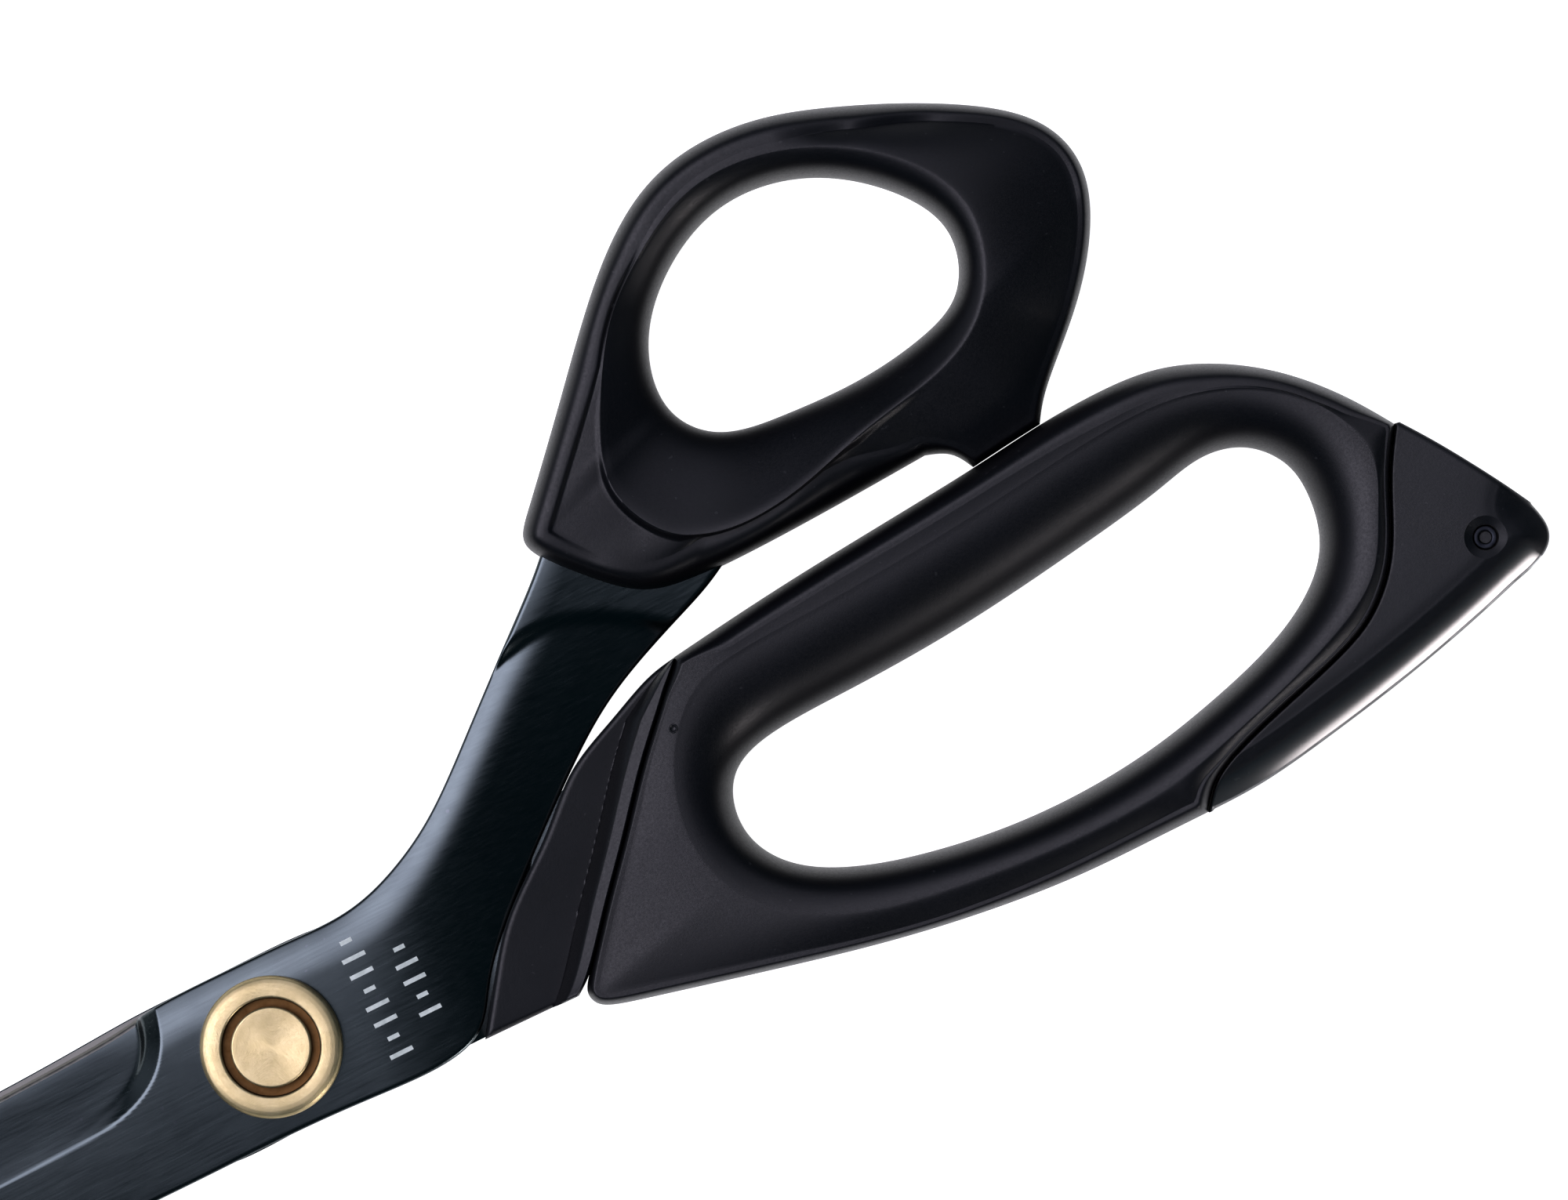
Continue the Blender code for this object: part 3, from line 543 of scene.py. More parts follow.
# Where a bow's surface falls away: a point, a direction, a rate and a power of the distance
THUMB_SAG = ((84.0, 30.5), (0.35, -0.94), 0.13, 1.3)
LIP_WIDTH = 0.8
STEP_WIDTH = 0.45


def quarter(share, power):
    """Height of a rounded corner, 0 to 1, at a share of its width from the edge."""
    share = np.clip(share, 0, 1)
    return (1 - (1 - share) ** power) ** (1 / power)


def sagging(points, sag):
    """How far a bow's surface has fallen at each point."""
    if sag is None:
        return 0 * points[..., 0]
    start, toward, rate, power = sag
    return rate * np.maximum((points - start) @ np.array(toward), 0) ** power


def bow_section(hole, crest, loop, ease, sag):
    """Plan points and heights over the top of a bow, a row to each place around it."""
    roll = 1 - np.cos(np.linspace(0, pi / 2, 30))
    inward = (crest - hole)[:, None]
    inner = hole[:, None] + roll[None, :, None] * inward
    slope = ease["slope"][:, None]
    bank = (1 - slope) * quarter(roll[None], ease["roll"][:, None]) + slope * roll[None]
    inner_high = ease["crest"][:, None] * bank

    # Places on the way out are set by their distance from the outline
    reach = loop - crest
    width = np.linalg.norm(reach, axis=1)
    share = np.linspace(0, 1, 60)
    off = distance(crest[:, None] + share[None, :, None] * reach[:, None], loop, closed=True)
    off = np.maximum.accumulate(off[:, ::-1], axis=1)[:, ::-1]
    edge = 1 - np.cos(np.linspace(0, pi / 2, 20))
    climb = np.linspace(0, 1, 8)[1:]
    flank = np.minimum(ease["flank"], 0.82 * off[:, 0])
    rise = np.minimum(STEP_WIDTH, 0.10 * off[:, 0])
    wanted = np.hstack([flank[:, None] * edge, flank[:, None] + rise[:, None] * climb])
    outer_share = np.empty_like(wanted)
    for row in range(len(loop)):
        outer_share[row] = np.interp(-wanted[row], -off[row], share)
    last = outer_share[:, -1:]
    lip_width = np.minimum(LIP_WIDTH, 0.45 * last[:, 0] * width)
    lip_steps = np.linspace(0, 1, 9)[1:]
    lip_share = lip_width[:, None] * lip_steps / width[:, None]
    spread = np.linspace(0, 1, 17)[1:-1]
    panel_share = lip_share[:, -1:] + spread * (last - lip_share[:, -1:])
    out_share = np.hstack([lip_share, panel_share, outer_share[:, ::-1]])
    outer = crest[:, None] + out_share[..., None] * reach[:, None]

    off_out = np.hstack([np.full(lip_share.shape, 99.0), np.full(panel_share.shape, 99.0), wanted[:, ::-1]])
    foot = ease["crest"] - ease["lip"]
    gone = out_share * width[:, None]
    level = ease["crest"][:, None] - ease["lip"][:, None] * smooth(gone / lip_width[:, None])
    level = level + (ease["shoulder"] - foot)[:, None] * np.clip(out_share / last, 0, 1) ** 1.5
    level = level + ease["step"][:, None] * (1 - smooth((off_out - flank[:, None]) / rise[:, None]))
    level = level - sagging(outer, sag) + sagging(crest, sag)[:, None]
    outer_high = level * quarter(off_out / flank[:, None], ease["square"][:, None])

    plan = np.concatenate([inner, outer], axis=1)
    high = np.hstack([inner_high, outer_high])
    top = len(roll) - 1
    for _ in range(3):  # rounds the crest
        near = slice(top - 2, top + 3)
        high[:, near] = (high[:, top - 3 : top + 2] + 2 * high[:, near] + high[:, top - 1 : top + 4]) / 4
    return plan, np.maximum(high, PARTING)


def bow(hole_points, crest_points, runs, spine, ease_marks, sag, spacing):
    """A bow's closed skin: the top section, its mirror image below, and a fine groove where they meet."""
    loop = outline(runs, spacing)
    wanted = around(loop, spine)
    hole = matched(hole_points, spine, wanted)
    crest = matched(crest_points, spine, wanted)
    ease = {key: varying(marks, spine, wanted) for key, marks in ease_marks.items()}
    plan, high = bow_section(hole, crest, loop, ease, sag)
    first, last = plan[:, 0], plan[:, -1]
    into_first = first + PARTING * (plan[:, 9] - first) / np.linalg.norm(plan[:, 9] - first, axis=1)[:, None]
    into_last = last + PARTING * (plan[:, -8] - last) / np.linalg.norm(plan[:, -8] - last, axis=1)[:, None]
    seam_in, seam_out = at_height(into_first, 0.0)[:, None], at_height(into_last, 0.0)[:, None]
    top = np.concatenate([plan, high[..., None]], axis=2)
    under = (top * (1, 1, -1))[:, ::-1]
    rows = np.concatenate([seam_in, top, seam_out, under], axis=1)
    faces = grid(rows.shape[0], rows.shape[1], closed_rows=True, closed_columns=True)
    return rows.reshape(-1, 3), faces


def thumb_bow():
    points, faces = bow(THUMB_HOLE, THUMB_CREST, THUMB_RUNS, THUMB_SPINE, THUMB_EASE, THUMB_SAG, 0.33)
    made = piece("thumb_bow", points, faces, grip_plastic, "thumb_half", crease=40)
    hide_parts("thumb_grip")


def finger_bow():
    points, faces = bow(FINGER_HOLE, FINGER_CREST, FINGER_RUNS, FINGER_SPINE, FINGER_EASE, None, 0.38)
    made = piece("finger_bow", points, faces, grip_plastic, "finger_half", crease=40)
    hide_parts("finger_grip")


# Blades

def strip_rows(pairs, fine_low, fine_high):
    """Both edges of a strip at stations along it, four times as many between two places."""
    both = spline([(*left, *right) for left, right in pairs], 1200)
    middle = (both[:, 0] + both[:, 2]) / 2
    fine = (middle > fine_low) & (middle < fine_high)
    keep = fine | (np.arange(len(both)) % 4 == 0)
    keep[[0, -1]] = True
    return both[keep, :2], both[keep, 2:]


# Where the ground part begins, and where the shank steps up to a pad in front of the thumb bow
PLUNGE = [
    (-7.9, 8.6), (-8.0, 7.9), (-8.6, 5.6), (-9.5, 3.9), (-10.7, 2.5), (-12.8, 1.1), (-16.8, -0.3),
    (-24.0, -1.6), (-42.0, -3.0),
]
PAD_EDGE = [
    (31.0, 21.6), (33.5, 22.2), (36.5, 23.0), (39.9, 23.3), (43.5, 22.3), (47.0, 20.3), (50.5, 17.6),
    (54.0, 14.2),
]
PAD_RISE = 0.5
PAD_LEAN = 1.5  # how far the pad falls from left to right
ROLL_WIDTH = 4.0  # the broad roll along a shank's left edge
ROLL_DROP = 0.56
THINNING = 1.6  # how much thinner a blade's back is at the point
HOLLOW = 0.06  # depth of the hollow grind, as a share of its height
GROUND_SHARE = 0.49  # how much of the blade's width is ground, by the plunge
HONE_SLOPE = 1.8


def ground_face(x, share, width, edge_first, shank):
    """Outer heights of the ground part of a blade: hollow to about the middle, then the blade's back."""
    top = shank - THINNING * np.clip((-60 - x) / 44, 0, 1)
    from_edge = share if edge_first else 1 - share
    bevel = GROUND_SHARE + 0.05 * np.clip((-20 - x) / 80, 0, 1)
    across = np.clip(from_edge / bevel, 0, 1)
    ground = EDGE_HIGH + (top - EDGE_HIGH) * (across - HOLLOW * np.sin(pi * across))
    honed = INNER_FACE + 0.15 + HONE_SLOPE * from_edge * width
    return np.where(across < 1, np.minimum(ground, honed), top)


def crowned(x, share, width, lean):
    """Outer heights of a shank: rolled edges, and a crown that leans to the right."""
    from_left, from_right = share * width, (1 - share) * width
    fall = lean * (1.45 + 0.45 * smooth((x - 8) / 14))
    crown = -fall * np.clip((share - 0.08) / 0.92, 0, 1) ** 1.25
    roll = ROLL_DROP * np.clip(1 - from_left / ROLL_WIDTH, 0, 1) ** 2
    edges = 0.2 * (1 - quarter(from_left / 0.2, 2)) + 0.3 * (1 - quarter(from_right / 0.35, 2))
    return OUTER_FACE + crown - roll - edges


def blade_skin(pairs, edge_first, mirror):
    """The closed skin of a blade, its outer face up, from edge pairs; mirror puts the outer face down."""
    left, right = strip_rows(pairs, -24, -5)
    ticks = np.concatenate([
        0.16 * (1 - np.cos(np.linspace(0, pi / 2, 16))), np.linspace(0.16, 0.84, 50)[1:-1],
        1 - 0.16 * (1 - np.cos(np.linspace(pi / 2, 0, 16))),
    ])
    plan = left[:, None] + ticks[None, :, None] * (right - left)[:, None]
    width = np.linalg.norm(right - left, axis=1)[:, None]
    share = np.broadcast_to(ticks[None], plan.shape[:2])
    x = plan[..., 0]

    shank = crowned(x, share, width, 0.5 if mirror else 1.0)
    if not mirror:
        from_left, from_right = share * width, (1 - share) * width
        lifted = OUTER_FACE + PAD_RISE - PAD_LEAN * share - 0.15 * np.clip(1 - from_left / 2.6, 0, 1) ** 2
        lifted = lifted - 0.4 * (1 - quarter(from_left / 0.4, 2)) - 0.4 * (1 - quarter(from_right / 0.5, 2))
        beyond = signed_side(plan, spline(PAD_EDGE, 60))
        shank = shank + (lifted - shank) * smooth(beyond / 1.5 + 0.5)

    line = spline(PLUNGE, 160) * ((1, 1) if edge_first else (1, -1))
    past = signed_side(plan, line[::-1] if edge_first else line)
    wall = shank - 0.8 * np.maximum(past, 0) - 1.7 * np.maximum(past - 1.5, 0)
    ground = ground_face(x, share, width, edge_first, shank)
    fillet = np.sqrt((wall - ground) ** 2 + 0.3**2)
    high = np.where(past > 0, np.minimum((wall + ground + fillet) / 2, shank), shank)
    high = np.maximum(np.where(x < -40, ground, high), INNER_FACE + 0.1)

    top = np.concatenate([plan, high[..., None]], axis=2)
    inset = 0.1 * (right - left) / width
    below = [  # a fine chamfer at both edges of the inner face
        at_height(plan[:, -1], INNER_FACE + 0.06), at_height(right - inset, INNER_FACE),
        at_height(left + inset, INNER_FACE), at_height(plan[:, 0], INNER_FACE + 0.06),
    ]
    rows = np.concatenate([top] + [row[:, None] for row in below], axis=1)
    if mirror:
        rows = rows * (1, 1, -1)
    count, columns = rows.shape[:2]
    faces = grid(count, columns, closed_columns=True) + end_caps(count, columns)
    return rows.reshape(-1, 3), faces


def signed_side(points, line):
    """Distance to a line of straight pieces, positive to the left of its direction."""
    away = distance(points, line)
    nearest = np.full(points.shape[:-1], np.inf)
    side = np.zeros(points.shape[:-1])
    for start, end in zip(line[:-1], line[1:]):
        run = end - start
        share = np.clip(((points - start) @ run) / (run @ run), 0, 1)
        gap = points - start - share[..., None] * run
        squared = (gap**2).sum(axis=-1)
        cross = run[0] * (points[..., 1] - start[1]) - run[1] * (points[..., 0] - start[0])
        closer = squared < nearest - 1e-9
        side = np.where(closer, np.sign(cross), side)
        nearest = np.where(closer, squared, nearest)
    return away * side


def drill(target, radius, low, high, name):
    """A round hole on the pivot axis."""
    points, faces = turned_rows([(radius, low), (radius, high)], 96, False)
    cut(target, points, faces, name)


def cut(target, points, faces, name):
    """Takes a closed shape out of a piece, and removes the helper."""
    mesh = bpy.data.meshes.new(name)
    mesh.from_pydata(place(points).tolist(), [], faces)
    shape = bmesh.new()
    shape.from_mesh(mesh)
    bmesh.ops.recalc_face_normals(shape, faces=shape.faces)
    shape.to_mesh(mesh)
    shape.free()
    helper = bpy.data.objects.new(name, mesh)
    bpy.context.scene.collection.objects.link(helper)
    change = target.modifiers.new(name, "BOOLEAN")
    change.operation = "DIFFERENCE"
    change.object = helper
    bpy.context.view_layer.update()
    with bpy.context.temp_override(object=target, active_object=target):
        bpy.ops.object.modifier_apply(modifier=name)
    bpy.data.objects.remove(helper)


def hone(blade, outward):
    """Bare steel inside, and on the narrow bevel honed along the cutting edge."""
    blade.data.materials.append(honed_steel)
    for face in blade.data.polygons:
        high = outward * face.center.z / MM
        beside = outward * face.center.y / MM
        honed = high < 0.8 and face.normal.z * outward > 0.2 and beside > -6
        if face.center.x / MM < -8.5 and (honed or face.normal.z * outward < -0.9):
            face.material_index = 1


def front_blade():
    points, faces = blade_skin(THUMB_BLADE, True, False)
    made = piece("front_blade", points, faces, blade_coating, "thumb_half", crease=38)
    drill(made, 2.9, -1, 8, "front_bore")
    hone(made, 1)
    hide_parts("thumb_blade")
    print_marks(points)


def rear_blade():
    points, faces = blade_skin(FINGER_BLADE, False, True)
    made = piece("rear_blade", points, faces, blade_coating, "finger_half", crease=38)
    drill(made, 3.8, -8, 1, "rear_bore")
    hone(made, -1)
    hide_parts("finger_blade")


PRINT_ROWS = [(10.4, 2.3, -5.8, 5.6, 8), (14.5, 2.2, -3.5, 2.9, 5)]  # x, height, from y, to y, bars
PRINT_STROKE = 0.42
PRINT_LIFT = 0.03


def print_marks(skin):
    """Two rows of plain printed bars beside the pivot, lying on the blade's face."""
    face = skin[skin[:, 2] > INNER_FACE + 0.5]
    points, faces = [], []
    for x, tall, start, end, count in PRINT_ROWS:
        for k, y in enumerate(np.linspace(start, end, count)):
            reach = tall if k % 3 != 1 else 0.5 * tall
            xs = np.linspace(x - reach / 2, x + reach / 2, 6)
            ring = []
            for lift in (-0.2, PRINT_LIFT):
                for side in (-0.5, 0.5):
                    line = np.column_stack([xs, np.full(6, y + side * PRINT_STROKE)])
                    gap = ((face[None, :, :2] - line[:, None]) ** 2).sum(axis=2)
                    near = np.argsort(gap, axis=1)[:, :4]
                    weight = 1 / (np.take_along_axis(gap, near, axis=1) + 1e-4)
                    high = (face[near, 2] * weight).sum(axis=1) / weight.sum(axis=1)
                    ring.append(np.column_stack([line, high + lift]))
            bar = np.stack([ring[0], ring[1], ring[3], ring[2]], axis=1).reshape(-1, 3)
            base = sum(len(p) for p in points)
            shape = grid(6, 4, closed_columns=True) + end_caps(6, 4)
            points.append(bar)
            faces += [[base + i for i in quad] for quad in shape]
    piece("print_marks", np.vstack(points), faces, print_paint, "thumb_half", crease=40)


# Turned pieces

def turned_rows(profile, steps, closed):
    """Points and faces of a profile of (radius, height) turned about Z, as a ring or with capped ends."""
    turns = 2 * pi * np.arange(steps) / steps
    circle = np.column_stack([np.cos(turns), np.sin(turns)])
    rows = [at_height(radius * circle, high) for radius, high in profile]
    faces = grid(len(rows), steps, closed_rows=closed, closed_columns=True)
    if not closed:
        faces += end_caps(len(rows), steps)
    return np.vstack(rows), faces


def rounded(corners, radius, steps=5):
    """A profile whose inner corners are rounded."""
    corners = [np.array(c, float) for c in corners]
    points = [corners[0]]
    for before, corner, after in zip(corners, corners[1:], corners[2:]):
        back, ahead = before - corner, after - corner
        reach = min(radius, 0.45 * np.linalg.norm(back), 0.45 * np.linalg.norm(ahead))
        start = corner + reach * back / np.linalg.norm(back)
        end = corner + reach * ahead / np.linalg.norm(ahead)
        for t in np.linspace(0, 1, steps):
            points.append((1 - t) ** 2 * start + 2 * t * (1 - t) * corner + t * t * end)
    points.append(corners[-1])
    return points


def screw_head():
    """The screw: shaft, and a head whose face is dished by a hair between rounded edges."""
    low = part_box("pivot_screw")[0]
    bottom = (low.z - PIVOT.z) / MM
    profile = [(0.3, bottom), (2.3, bottom), (2.6, bottom + 0.3), (2.6, 4.4), (3.3, 4.4), (HEAD_R, 4.5)]
    profile += [(HEAD_R, 5.04), (HEAD_R - 0.14, 5.18), (3.0, 5.15), (2.0, 5.11), (1.0, 5.09), (0.02, 5.085)]
    points, faces = turned_rows(rounded(profile, 0.12), 128, False)
    made = piece("screw_head", points, faces, brass, "thumb_half", crease=50)
    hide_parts("pivot_screw")


def bezel():
    """The domed brass ring round the screw head, with its groove."""
    outer = [(2.9, 1.9), (BEZEL_R, 1.9), (BEZEL_R, 4.35), (6.47, 4.68), (6.25, 4.92), (5.9, 5.05)]
    outer += [(5.5, 5.11), (5.1, 5.12), (4.72, 5.11), (4.6, 5.05)]
    outer += [(GROOVE_R, 4.9), (GROOVE_R, 4.05), (2.9, 4.05)]
    points, faces = turned_rows(rounded(outer, 0.1), 128, True)
    made = piece("bezel", points, faces, brass, "thumb_half", crease=50)
    # painted shade: the groove's walls and floor, and the bore below them, take the dark brown brass
    made.data.materials.append(groove_painted_shade)
    for face in made.data.polygons:
        reach = np.hypot(face.center.x, face.center.y) / MM
        if reach < GROOVE_R + 0.02:
            face.material_index = 1
    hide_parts("pivot_bezel")


def tension_nut():
    """The nut behind: a knurled rim, a chamfered face and a coin slot."""
    low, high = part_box("tension_nut")
    bottom, top = (low.z - PIVOT.z) / MM, (high.z - PIVOT.z) / MM
    profile = [(2.72, top), (2.72, bottom + 0.25), (2.95, bottom), (4.7, bottom), (5.35, bottom + 0.55)]
    profile += [(5.35, top - 0.25), (5.1, top), (2.72, top)]
    points, faces = turned_rows(rounded(profile[:-1], 0.1), 240, True)
    reach = np.hypot(points[:, 0], points[:, 1])
    turn = np.arctan2(points[:, 1], points[:, 0])
    knurl = np.where(reach > 5.2, 0.07 * np.cos(60 * turn), 0)
    points[:, :2] *= (1 + knurl / np.maximum(reach, 1))[:, None]
    made = piece("knurled_nut", points, faces, nut_brass, "nut", crease=50)
    slot = [(-8, -0.7), (8, -0.7), (8, 0.7), (-8, 0.7)]
    corners = [(x, y, z) for z in (bottom - 1, bottom + 0.9) for x, y in slot]
    cut(made, corners, grid(2, 4, closed_columns=True) + end_caps(2, 4), "coin_slot")
    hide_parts("tension_nut")


# Collar and flange

COLLAR_LEFT = [
    (17.8, -8.15), (21.35, -3.15), (24.9, 1.12), (30.9, 5.98), (35.85, 10.3), (41.2, 12.9), (45.9, 14.85),
    (48.75, 15.45),
]
COLLAR_RIGHT = [
    (27.35, -8.35), (28.6, -7.4), (30.45, -5.5), (33.55, -1.85), (37.5, 2.65), (42.1, 8.05), (46.4, 12.55),
    (48.95, 15.4),
]
FLANGE_HIGH = 2.95  # at the left edge
RIDGE_HIGH = 6.5
GROOVE_FLOOR = 5.2
BOSS_LOW = 3.95  # depth of the boss behind, by the rear shank


def collar_heights(from_left, to_right, width):
    """Outer heights across the collar: a low flange, a steep foot, a leaning ridge and the groove's wall."""
    flange = FLANGE_HIGH - 0.10 * from_left
    foot = np.minimum(2.7, 0.7 * width)
    bevel = 0.5 * foot
    crest = np.minimum(0.35, 0.15 * width)
    ridge = RIDGE_HIGH - 0.3 * np.maximum(to_right - crest, 0)
    climb = np.clip((foot - to_right) / (foot - bevel), 0, 1)
    high = flange + (ridge - flange) * (1 - (1 - climb) ** 1.7)
    wall = quarter(np.clip(to_right / crest, 0, 1), 2.2)
    return np.where(to_right < crest, GROOVE_FLOOR + (RIDGE_HIGH - GROOVE_FLOOR) * wall, high)


def collar():
    """The plastic between the front shank and the finger bow, with its ridge and, behind, its boss."""
    rows = 170
    left, right = spline(COLLAR_LEFT, rows), spline(COLLAR_RIGHT, rows)
    width = np.linalg.norm(right - left, axis=1)[:, None]
    share = (1 - (1 - np.linspace(0, 1, 96)) ** 1.5)[None]
    plan = left[:, None] + share[..., None] * (right - left)[:, None]
    to_right, from_left = (1 - share) * width, share * width
    ends = np.minimum(np.arange(rows) * 0.16, 9)[:, None]
    high = collar_heights(from_left, to_right, width)
    high = high - 0.5 * (1 - quarter(from_left / 0.7, 2)) - 0.5 * (1 - quarter(ends / 0.4, 2))
    rise = np.minimum(4.4, 0.85 * width)
    climb = np.clip((rise - to_right) / (rise - np.minimum(2.2, 0.4 * width)), 0, 1)
    boss = BOSS_LOW + (RIDGE_HIGH - BOSS_LOW) * climb**1.6 - 0.5 * (1 - quarter(ends / 0.4, 2))
    low = np.where(to_right < rise, -boss, 0.1)
    top = np.concatenate([plan, high[..., None]], axis=2)
    under = np.concatenate([plan, low[..., None]], axis=2)[:, ::-1]
    skin = np.concatenate([top, under], axis=1)
    columns = skin.shape[1]
    faces = grid(rows, columns, closed_columns=True) + end_caps(rows, columns)
    made = piece("collar", skin.reshape(-1, 3), faces, core_plastic, "finger_half", crease=40)
    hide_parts("finger_core")


# Cores, hidden in the bows

CORE_INSET = 3.0
HALF_CORE = 3.4
TONGUE = [(104.0, -8.2), (109.0, 2.0), (122.6, -5.6), (121.2, -9.6)]
HALF_TONGUE = 1.5


def core(name, hole_points, runs, spine, body, node):
    """The stiff ring inside a bow."""
    loop = outline(runs, 1.5)
    hole = matched(hole_points, spine, around(loop, spine))
    away = (loop - hole) / np.linalg.norm(loop - hole, axis=1)[:, None]
    inner, outer = hole + CORE_INSET * away, loop - CORE_INSET * away
    shape = [(inner, -HALF_CORE), (inner, HALF_CORE), (outer, HALF_CORE), (outer, -HALF_CORE)]
    rings = np.stack([at_height(edge, z) for edge, z in shape], axis=1)
    faces = grid(len(loop), 4, closed_rows=True, closed_columns=True)
    made = piece(name, rings.reshape(-1, 3), faces, core_plastic, body, crease=40)
    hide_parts(node)


def tongue():
    """The core's tongue inside the tail cap."""
    points = [(x, y, z) for z in (-HALF_TONGUE, HALF_TONGUE) for x, y in TONGUE]
    faces = grid(2, 4, closed_columns=True) + end_caps(2, 4)
    made = piece("tongue", points, faces, core_plastic, "finger_half", crease=40)
    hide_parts("finger_core")


# Tail cap

def tail():
    """The cap on the tail: level by the seam, rolling over to its lower edge, with a recess for its pin."""
    rows = 280
    seam = spline(TAIL_SEAM, rows)
    lower, tip, upper = spline(TAIL_LOWER, 120), spline(TAIL_TIP, 60), spline(TAIL_UPPER, 60)
    whole = np.vstack([lower, tip[1:], upper[1:]])
    run = np.concatenate([[0], np.cumsum(np.linalg.norm(np.diff(whole, axis=0), axis=1))])
    even = np.linspace(0, run[-1], rows)
    edge = np.stack([np.interp(even, run, whole[:, axis]) for axis in (0, 1)], axis=1)
    toward = (edge - seam) / np.linalg.norm(edge - seam, axis=1)[:, None]
    seam = seam + 0.08 * toward
    ticks = np.concatenate([
        0.04 * (1 - np.cos(np.linspace(0, pi / 2, 7))), np.linspace(0.04, 0.80, 44)[1:-1],
        1 - 0.20 * (1 - np.cos(np.linspace(pi / 2, 0, 22))),
    ])
    plan = seam[:, None] + ticks[None, :, None] * (edge - seam)[:, None]
    low_side = distance(plan, np.vstack([lower, tip[1:]]))
    up_side = distance(plan, upper)
    seam_side = distance(plan, seam)
    face = TAIL_HIGH - 0.2 * np.clip(1 - low_side / 9, 0, 1) ** 2
    gone = np.clip(TAIL_BEVEL - low_side, 0, None)
    bevel = TAIL_HIGH - 0.1 - 0.30 * gone - 0.076 * gone**2 + np.clip(low_side - TAIL_BEVEL, 0, None) * 0.3
    high = np.minimum(face, bevel) - 0.06 * np.exp(-(((face - bevel) / 0.2) ** 2))
    high = high * quarter(low_side / 0.3, 2)
    high = high - 0.5 * (1 - quarter(up_side / 0.5, 2)) - 0.12 * (1 - quarter(seam_side / 0.2, 2))
    high = np.maximum(high, PARTING)
    top = np.concatenate([plan, high[..., None]], axis=2)
    under = (top * (1, 1, -1))[:, ::-1]
    skin = np.concatenate([top, under], axis=1)
    columns = skin.shape[1]
    faces = grid(rows, columns, closed_columns=True) + end_caps(rows, columns)
    made = piece("tail", skin.reshape(-1, 3), faces, core_plastic, "finger_half", crease=40)
    for side in (-1, 1):
        rings, caps = turned_rows([(radius, side * high) for radius, high in TAIL_RECESS], 48, False)
        cut(made, rings + (*TAIL_PIN_AT, 0), caps, "recess")
    made.data.materials.append(tail_polish)
    for face in made.data.polygons:  # the outer part of the bevel is worn smooth
        if 0.42 < -face.normal.y < 0.95 and -face.normal.y > 2 * abs(face.normal.x):
            face.material_index = 1
    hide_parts("tail_cap")


def pin():
    """The tube that pins the cap to the tongue, with rounded ends."""
    low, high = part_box("tail_pin")
    bottom, top = (low.z - PIVOT.z) / MM, (high.z - PIVOT.z) / MM
    profile = [(0.55, bottom), (1.15, bottom), (1.15, top), (0.55, top)]
    points, faces = turned_rows(rounded(profile + [profile[0]], 0.2), 48, True)
    made = piece("pin", points + (*TAIL_PIN_AT, 0), faces, pin_metal, "finger_half", crease=50)
    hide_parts("tail_pin")


GATE_AT = (46.0, 9.7)


def gate_mark():
    """The moulding gate's small dimpled scar on the panel."""
    profile = [(0.02, 7.0), (0.42, 7.0), (0.42, 7.94), (0.34, 7.98), (0.22, 7.88), (0.02, 7.83)]
    points, faces = turned_rows(rounded(profile, 0.04), 32, False)
    piece("gate_mark", points + (*GATE_AT, 0), faces, core_plastic, "finger_half", crease=50)


# Carried-over nodes, floor, lights and camera

def dress(node, finish):
    """Puts a better material on a CAD node that stays."""
    slots = frame["nodes"][node].material_slots
    for slot in slots:
        slot.material = finish
    if not slots:
        frame["nodes"][node].data.materials.append(finish)


RIGHT = Vector((0.8949, -0.4462, 0.0))  # the camera's own directions over the floor
UP = Vector((0.4462, 0.8949, 0.0))
AIM = PIVOT + Vector((60.3, 15.7, 0.0)) * MM
VIEW_WIDTH = 0.144
CAMERA_HIGH = 1.5
SENSOR = 36.0
CONTRAST = 0.74  # below 1 deepens the darks, as in a product picture


def floor():
    size = 3.0
    bottom = min(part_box(node)[0].z for node in frame["nodes"])
    corners = [(-size, -size, bottom), (size, -size, bottom), (size, size, bottom), (-size, size, bottom)]
    mesh = bpy.data.meshes.new("floor")
    mesh.from_pydata(corners, [], [(0, 1, 2, 3)])
    made = bpy.data.objects.new("floor", mesh)
    bpy.context.scene.collection.objects.link(made)
    paper, tree, shader = new_material("paper", (0.4, 0.4, 0.4), 0.9, specular=0.0)
    shader.inputs["Emission Color"].default_value = (1, 1, 1, 1)
    shader.inputs["Emission Strength"].default_value = 1.0
    mesh.materials.append(paper)


# Soft lights around the shears: (right, up, high) direction in the picture, full inside one angle,
# gone past another, and a colour
STUDIO = [
    ((-0.41, 0.01, 0.91), 14, 32, (4.7, 4.5, 5.1)),  # large, overhead and to the left
    ((0.12, 0.60, 0.79), 8, 28, (1.3, 1.25, 1.45)),  # fainter, from the top of the picture
    ((-0.87, 0.30, 0.40), 8, 26, (0.5, 0.5, 0.56)),  # low on the left
    ((0.68, -0.70, 0.24), 5, 10, (15.0, 14.0, 14.0)),  # small and strong, low on the lower right
]
STUDIO_DIM = (0.012, 0.062, 0.086)


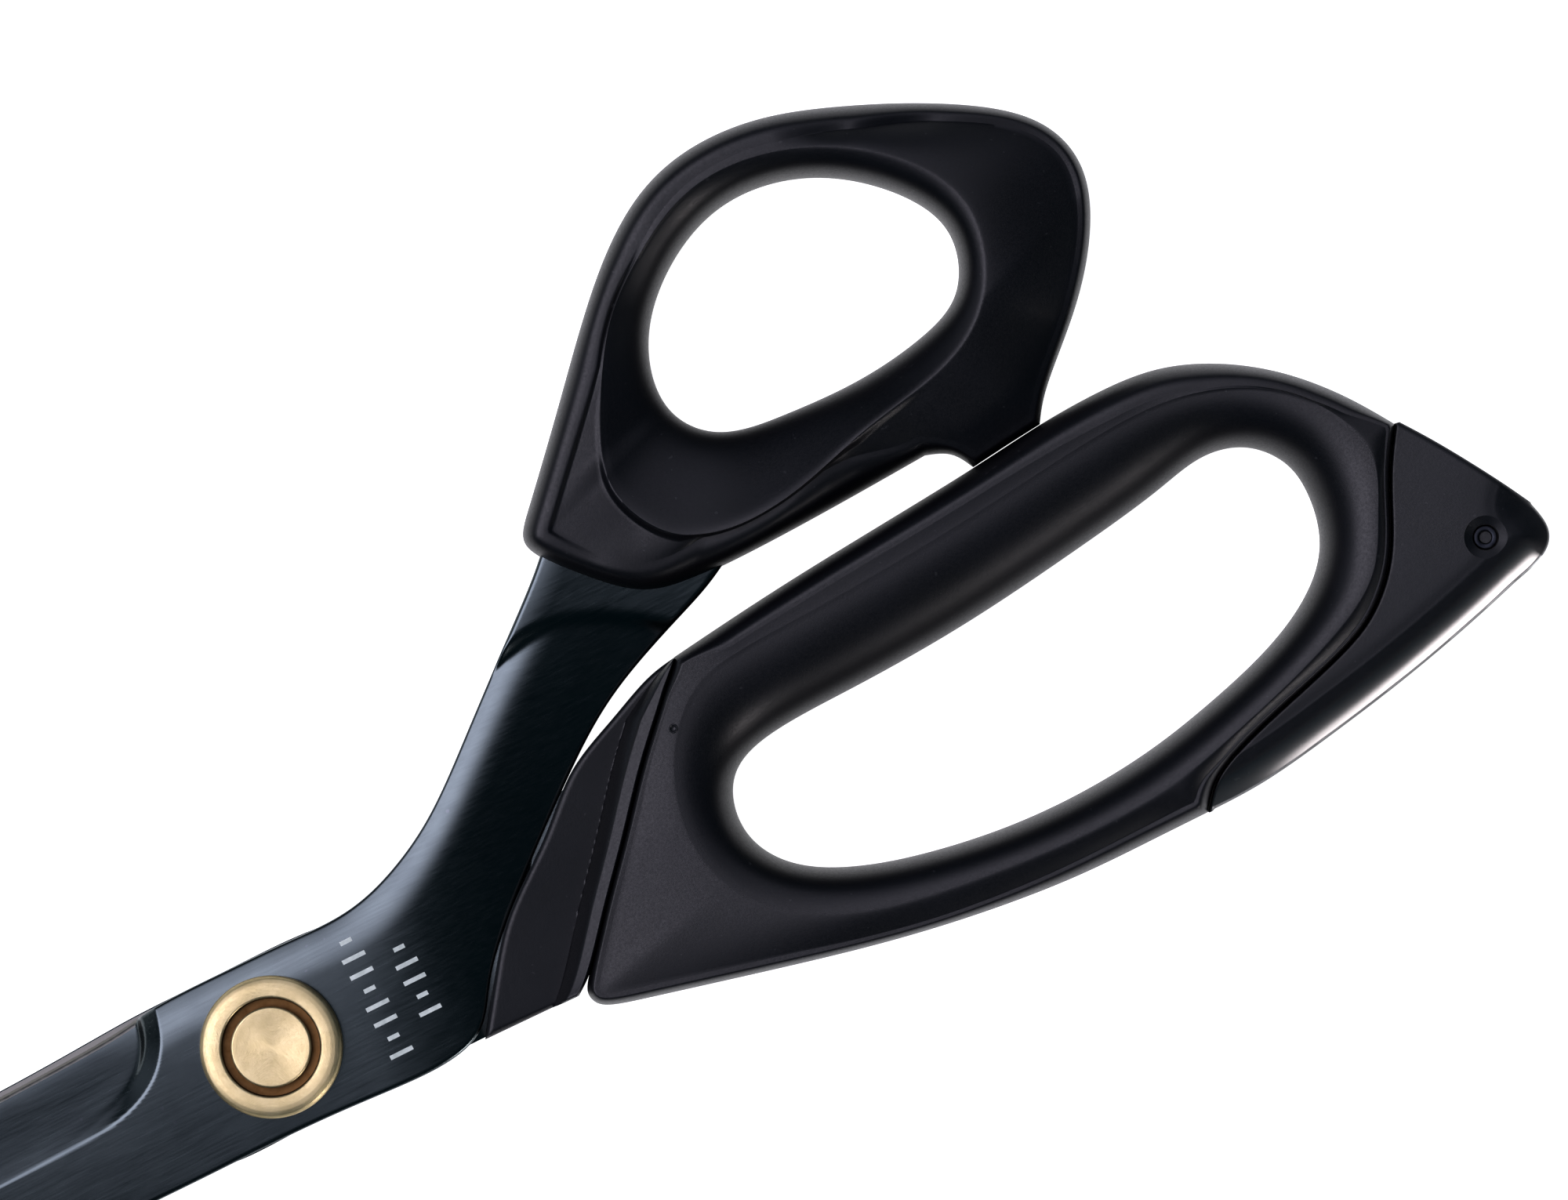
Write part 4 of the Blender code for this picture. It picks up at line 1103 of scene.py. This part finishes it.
def studio():
    """A dim room with a few soft lights, drawn by direction."""
    world = bpy.data.worlds.new("studio")
    world.use_nodes = True
    tree = world.node_tree
    source = tree.nodes.new("ShaderNodeTexCoord")
    total = None
    for (right, up, high), full, gone, color in STUDIO:
        toward = (RIGHT * right + UP * up + Vector((0, 0, high))).normalized()
        dot = tree.nodes.new("ShaderNodeVectorMath")
        dot.operation = "DOT_PRODUCT"
        dot.inputs[1].default_value = toward
        tree.links.new(source.outputs["Generated"], dot.inputs[0])
        fade = tree.nodes.new("ShaderNodeMapRange")
        fade.interpolation_type = "SMOOTHSTEP"
        fade.inputs["From Min"].default_value = cos(radians(gone))
        fade.inputs["From Max"].default_value = cos(radians(full))
        tree.links.new(dot.outputs["Value"], fade.inputs["Value"])
        scaled = tree.nodes.new("ShaderNodeVectorMath")
        scaled.operation = "SCALE"
        scaled.inputs[0].default_value = color
        tree.links.new(fade.outputs["Result"], scaled.inputs["Scale"])
        joined = tree.nodes.new("ShaderNodeVectorMath")
        joined.operation = "ADD"
        tree.links.new(scaled.outputs["Vector"], joined.inputs[0])
        if total:
            tree.links.new(total, joined.inputs[1])
        else:
            joined.inputs[1].default_value = STUDIO_DIM
        total = joined.outputs["Vector"]
    tree.links.new(total, tree.nodes["Background"].inputs["Color"])
    bpy.context.scene.world = world


def camera():
    lens = bpy.data.cameras.new("camera")
    lens.type = "PERSP"
    lens.sensor_width = SENSOR
    lens.lens = SENSOR * CAMERA_HIGH / VIEW_WIDTH
    lens.clip_start = 0.05
    made = bpy.data.objects.new("camera", lens)
    turn = Matrix((RIGHT, UP, Vector((0, 0, 1)))).transposed().to_4x4()
    made.matrix_world = Matrix.Translation(AIM + Vector((0, 0, CAMERA_HIGH))) @ turn
    bpy.context.scene.collection.objects.link(made)
    bpy.context.scene.camera = made
    bpy.context.scene.view_settings.view_transform = "Standard"
    bpy.context.scene.view_settings.gamma = CONTRAST


camera()
studio()
floor()
thumb_bow()
finger_bow()
core("thumb_ring", THUMB_HOLE, THUMB_RUNS, THUMB_SPINE, "thumb_half", "thumb_core")
core("finger_ring", FINGER_HOLE, FINGER_RUNS, FINGER_SPINE, "finger_half", "finger_core")
tongue()
front_blade()
rear_blade()
screw_head()
bezel()
tension_nut()
collar()
gate_mark()
tail()
pin()
dress("pivot_bush", bronze)
dress("blade_washer", washer_plastic)
dress("spring_washer", spring_steel)
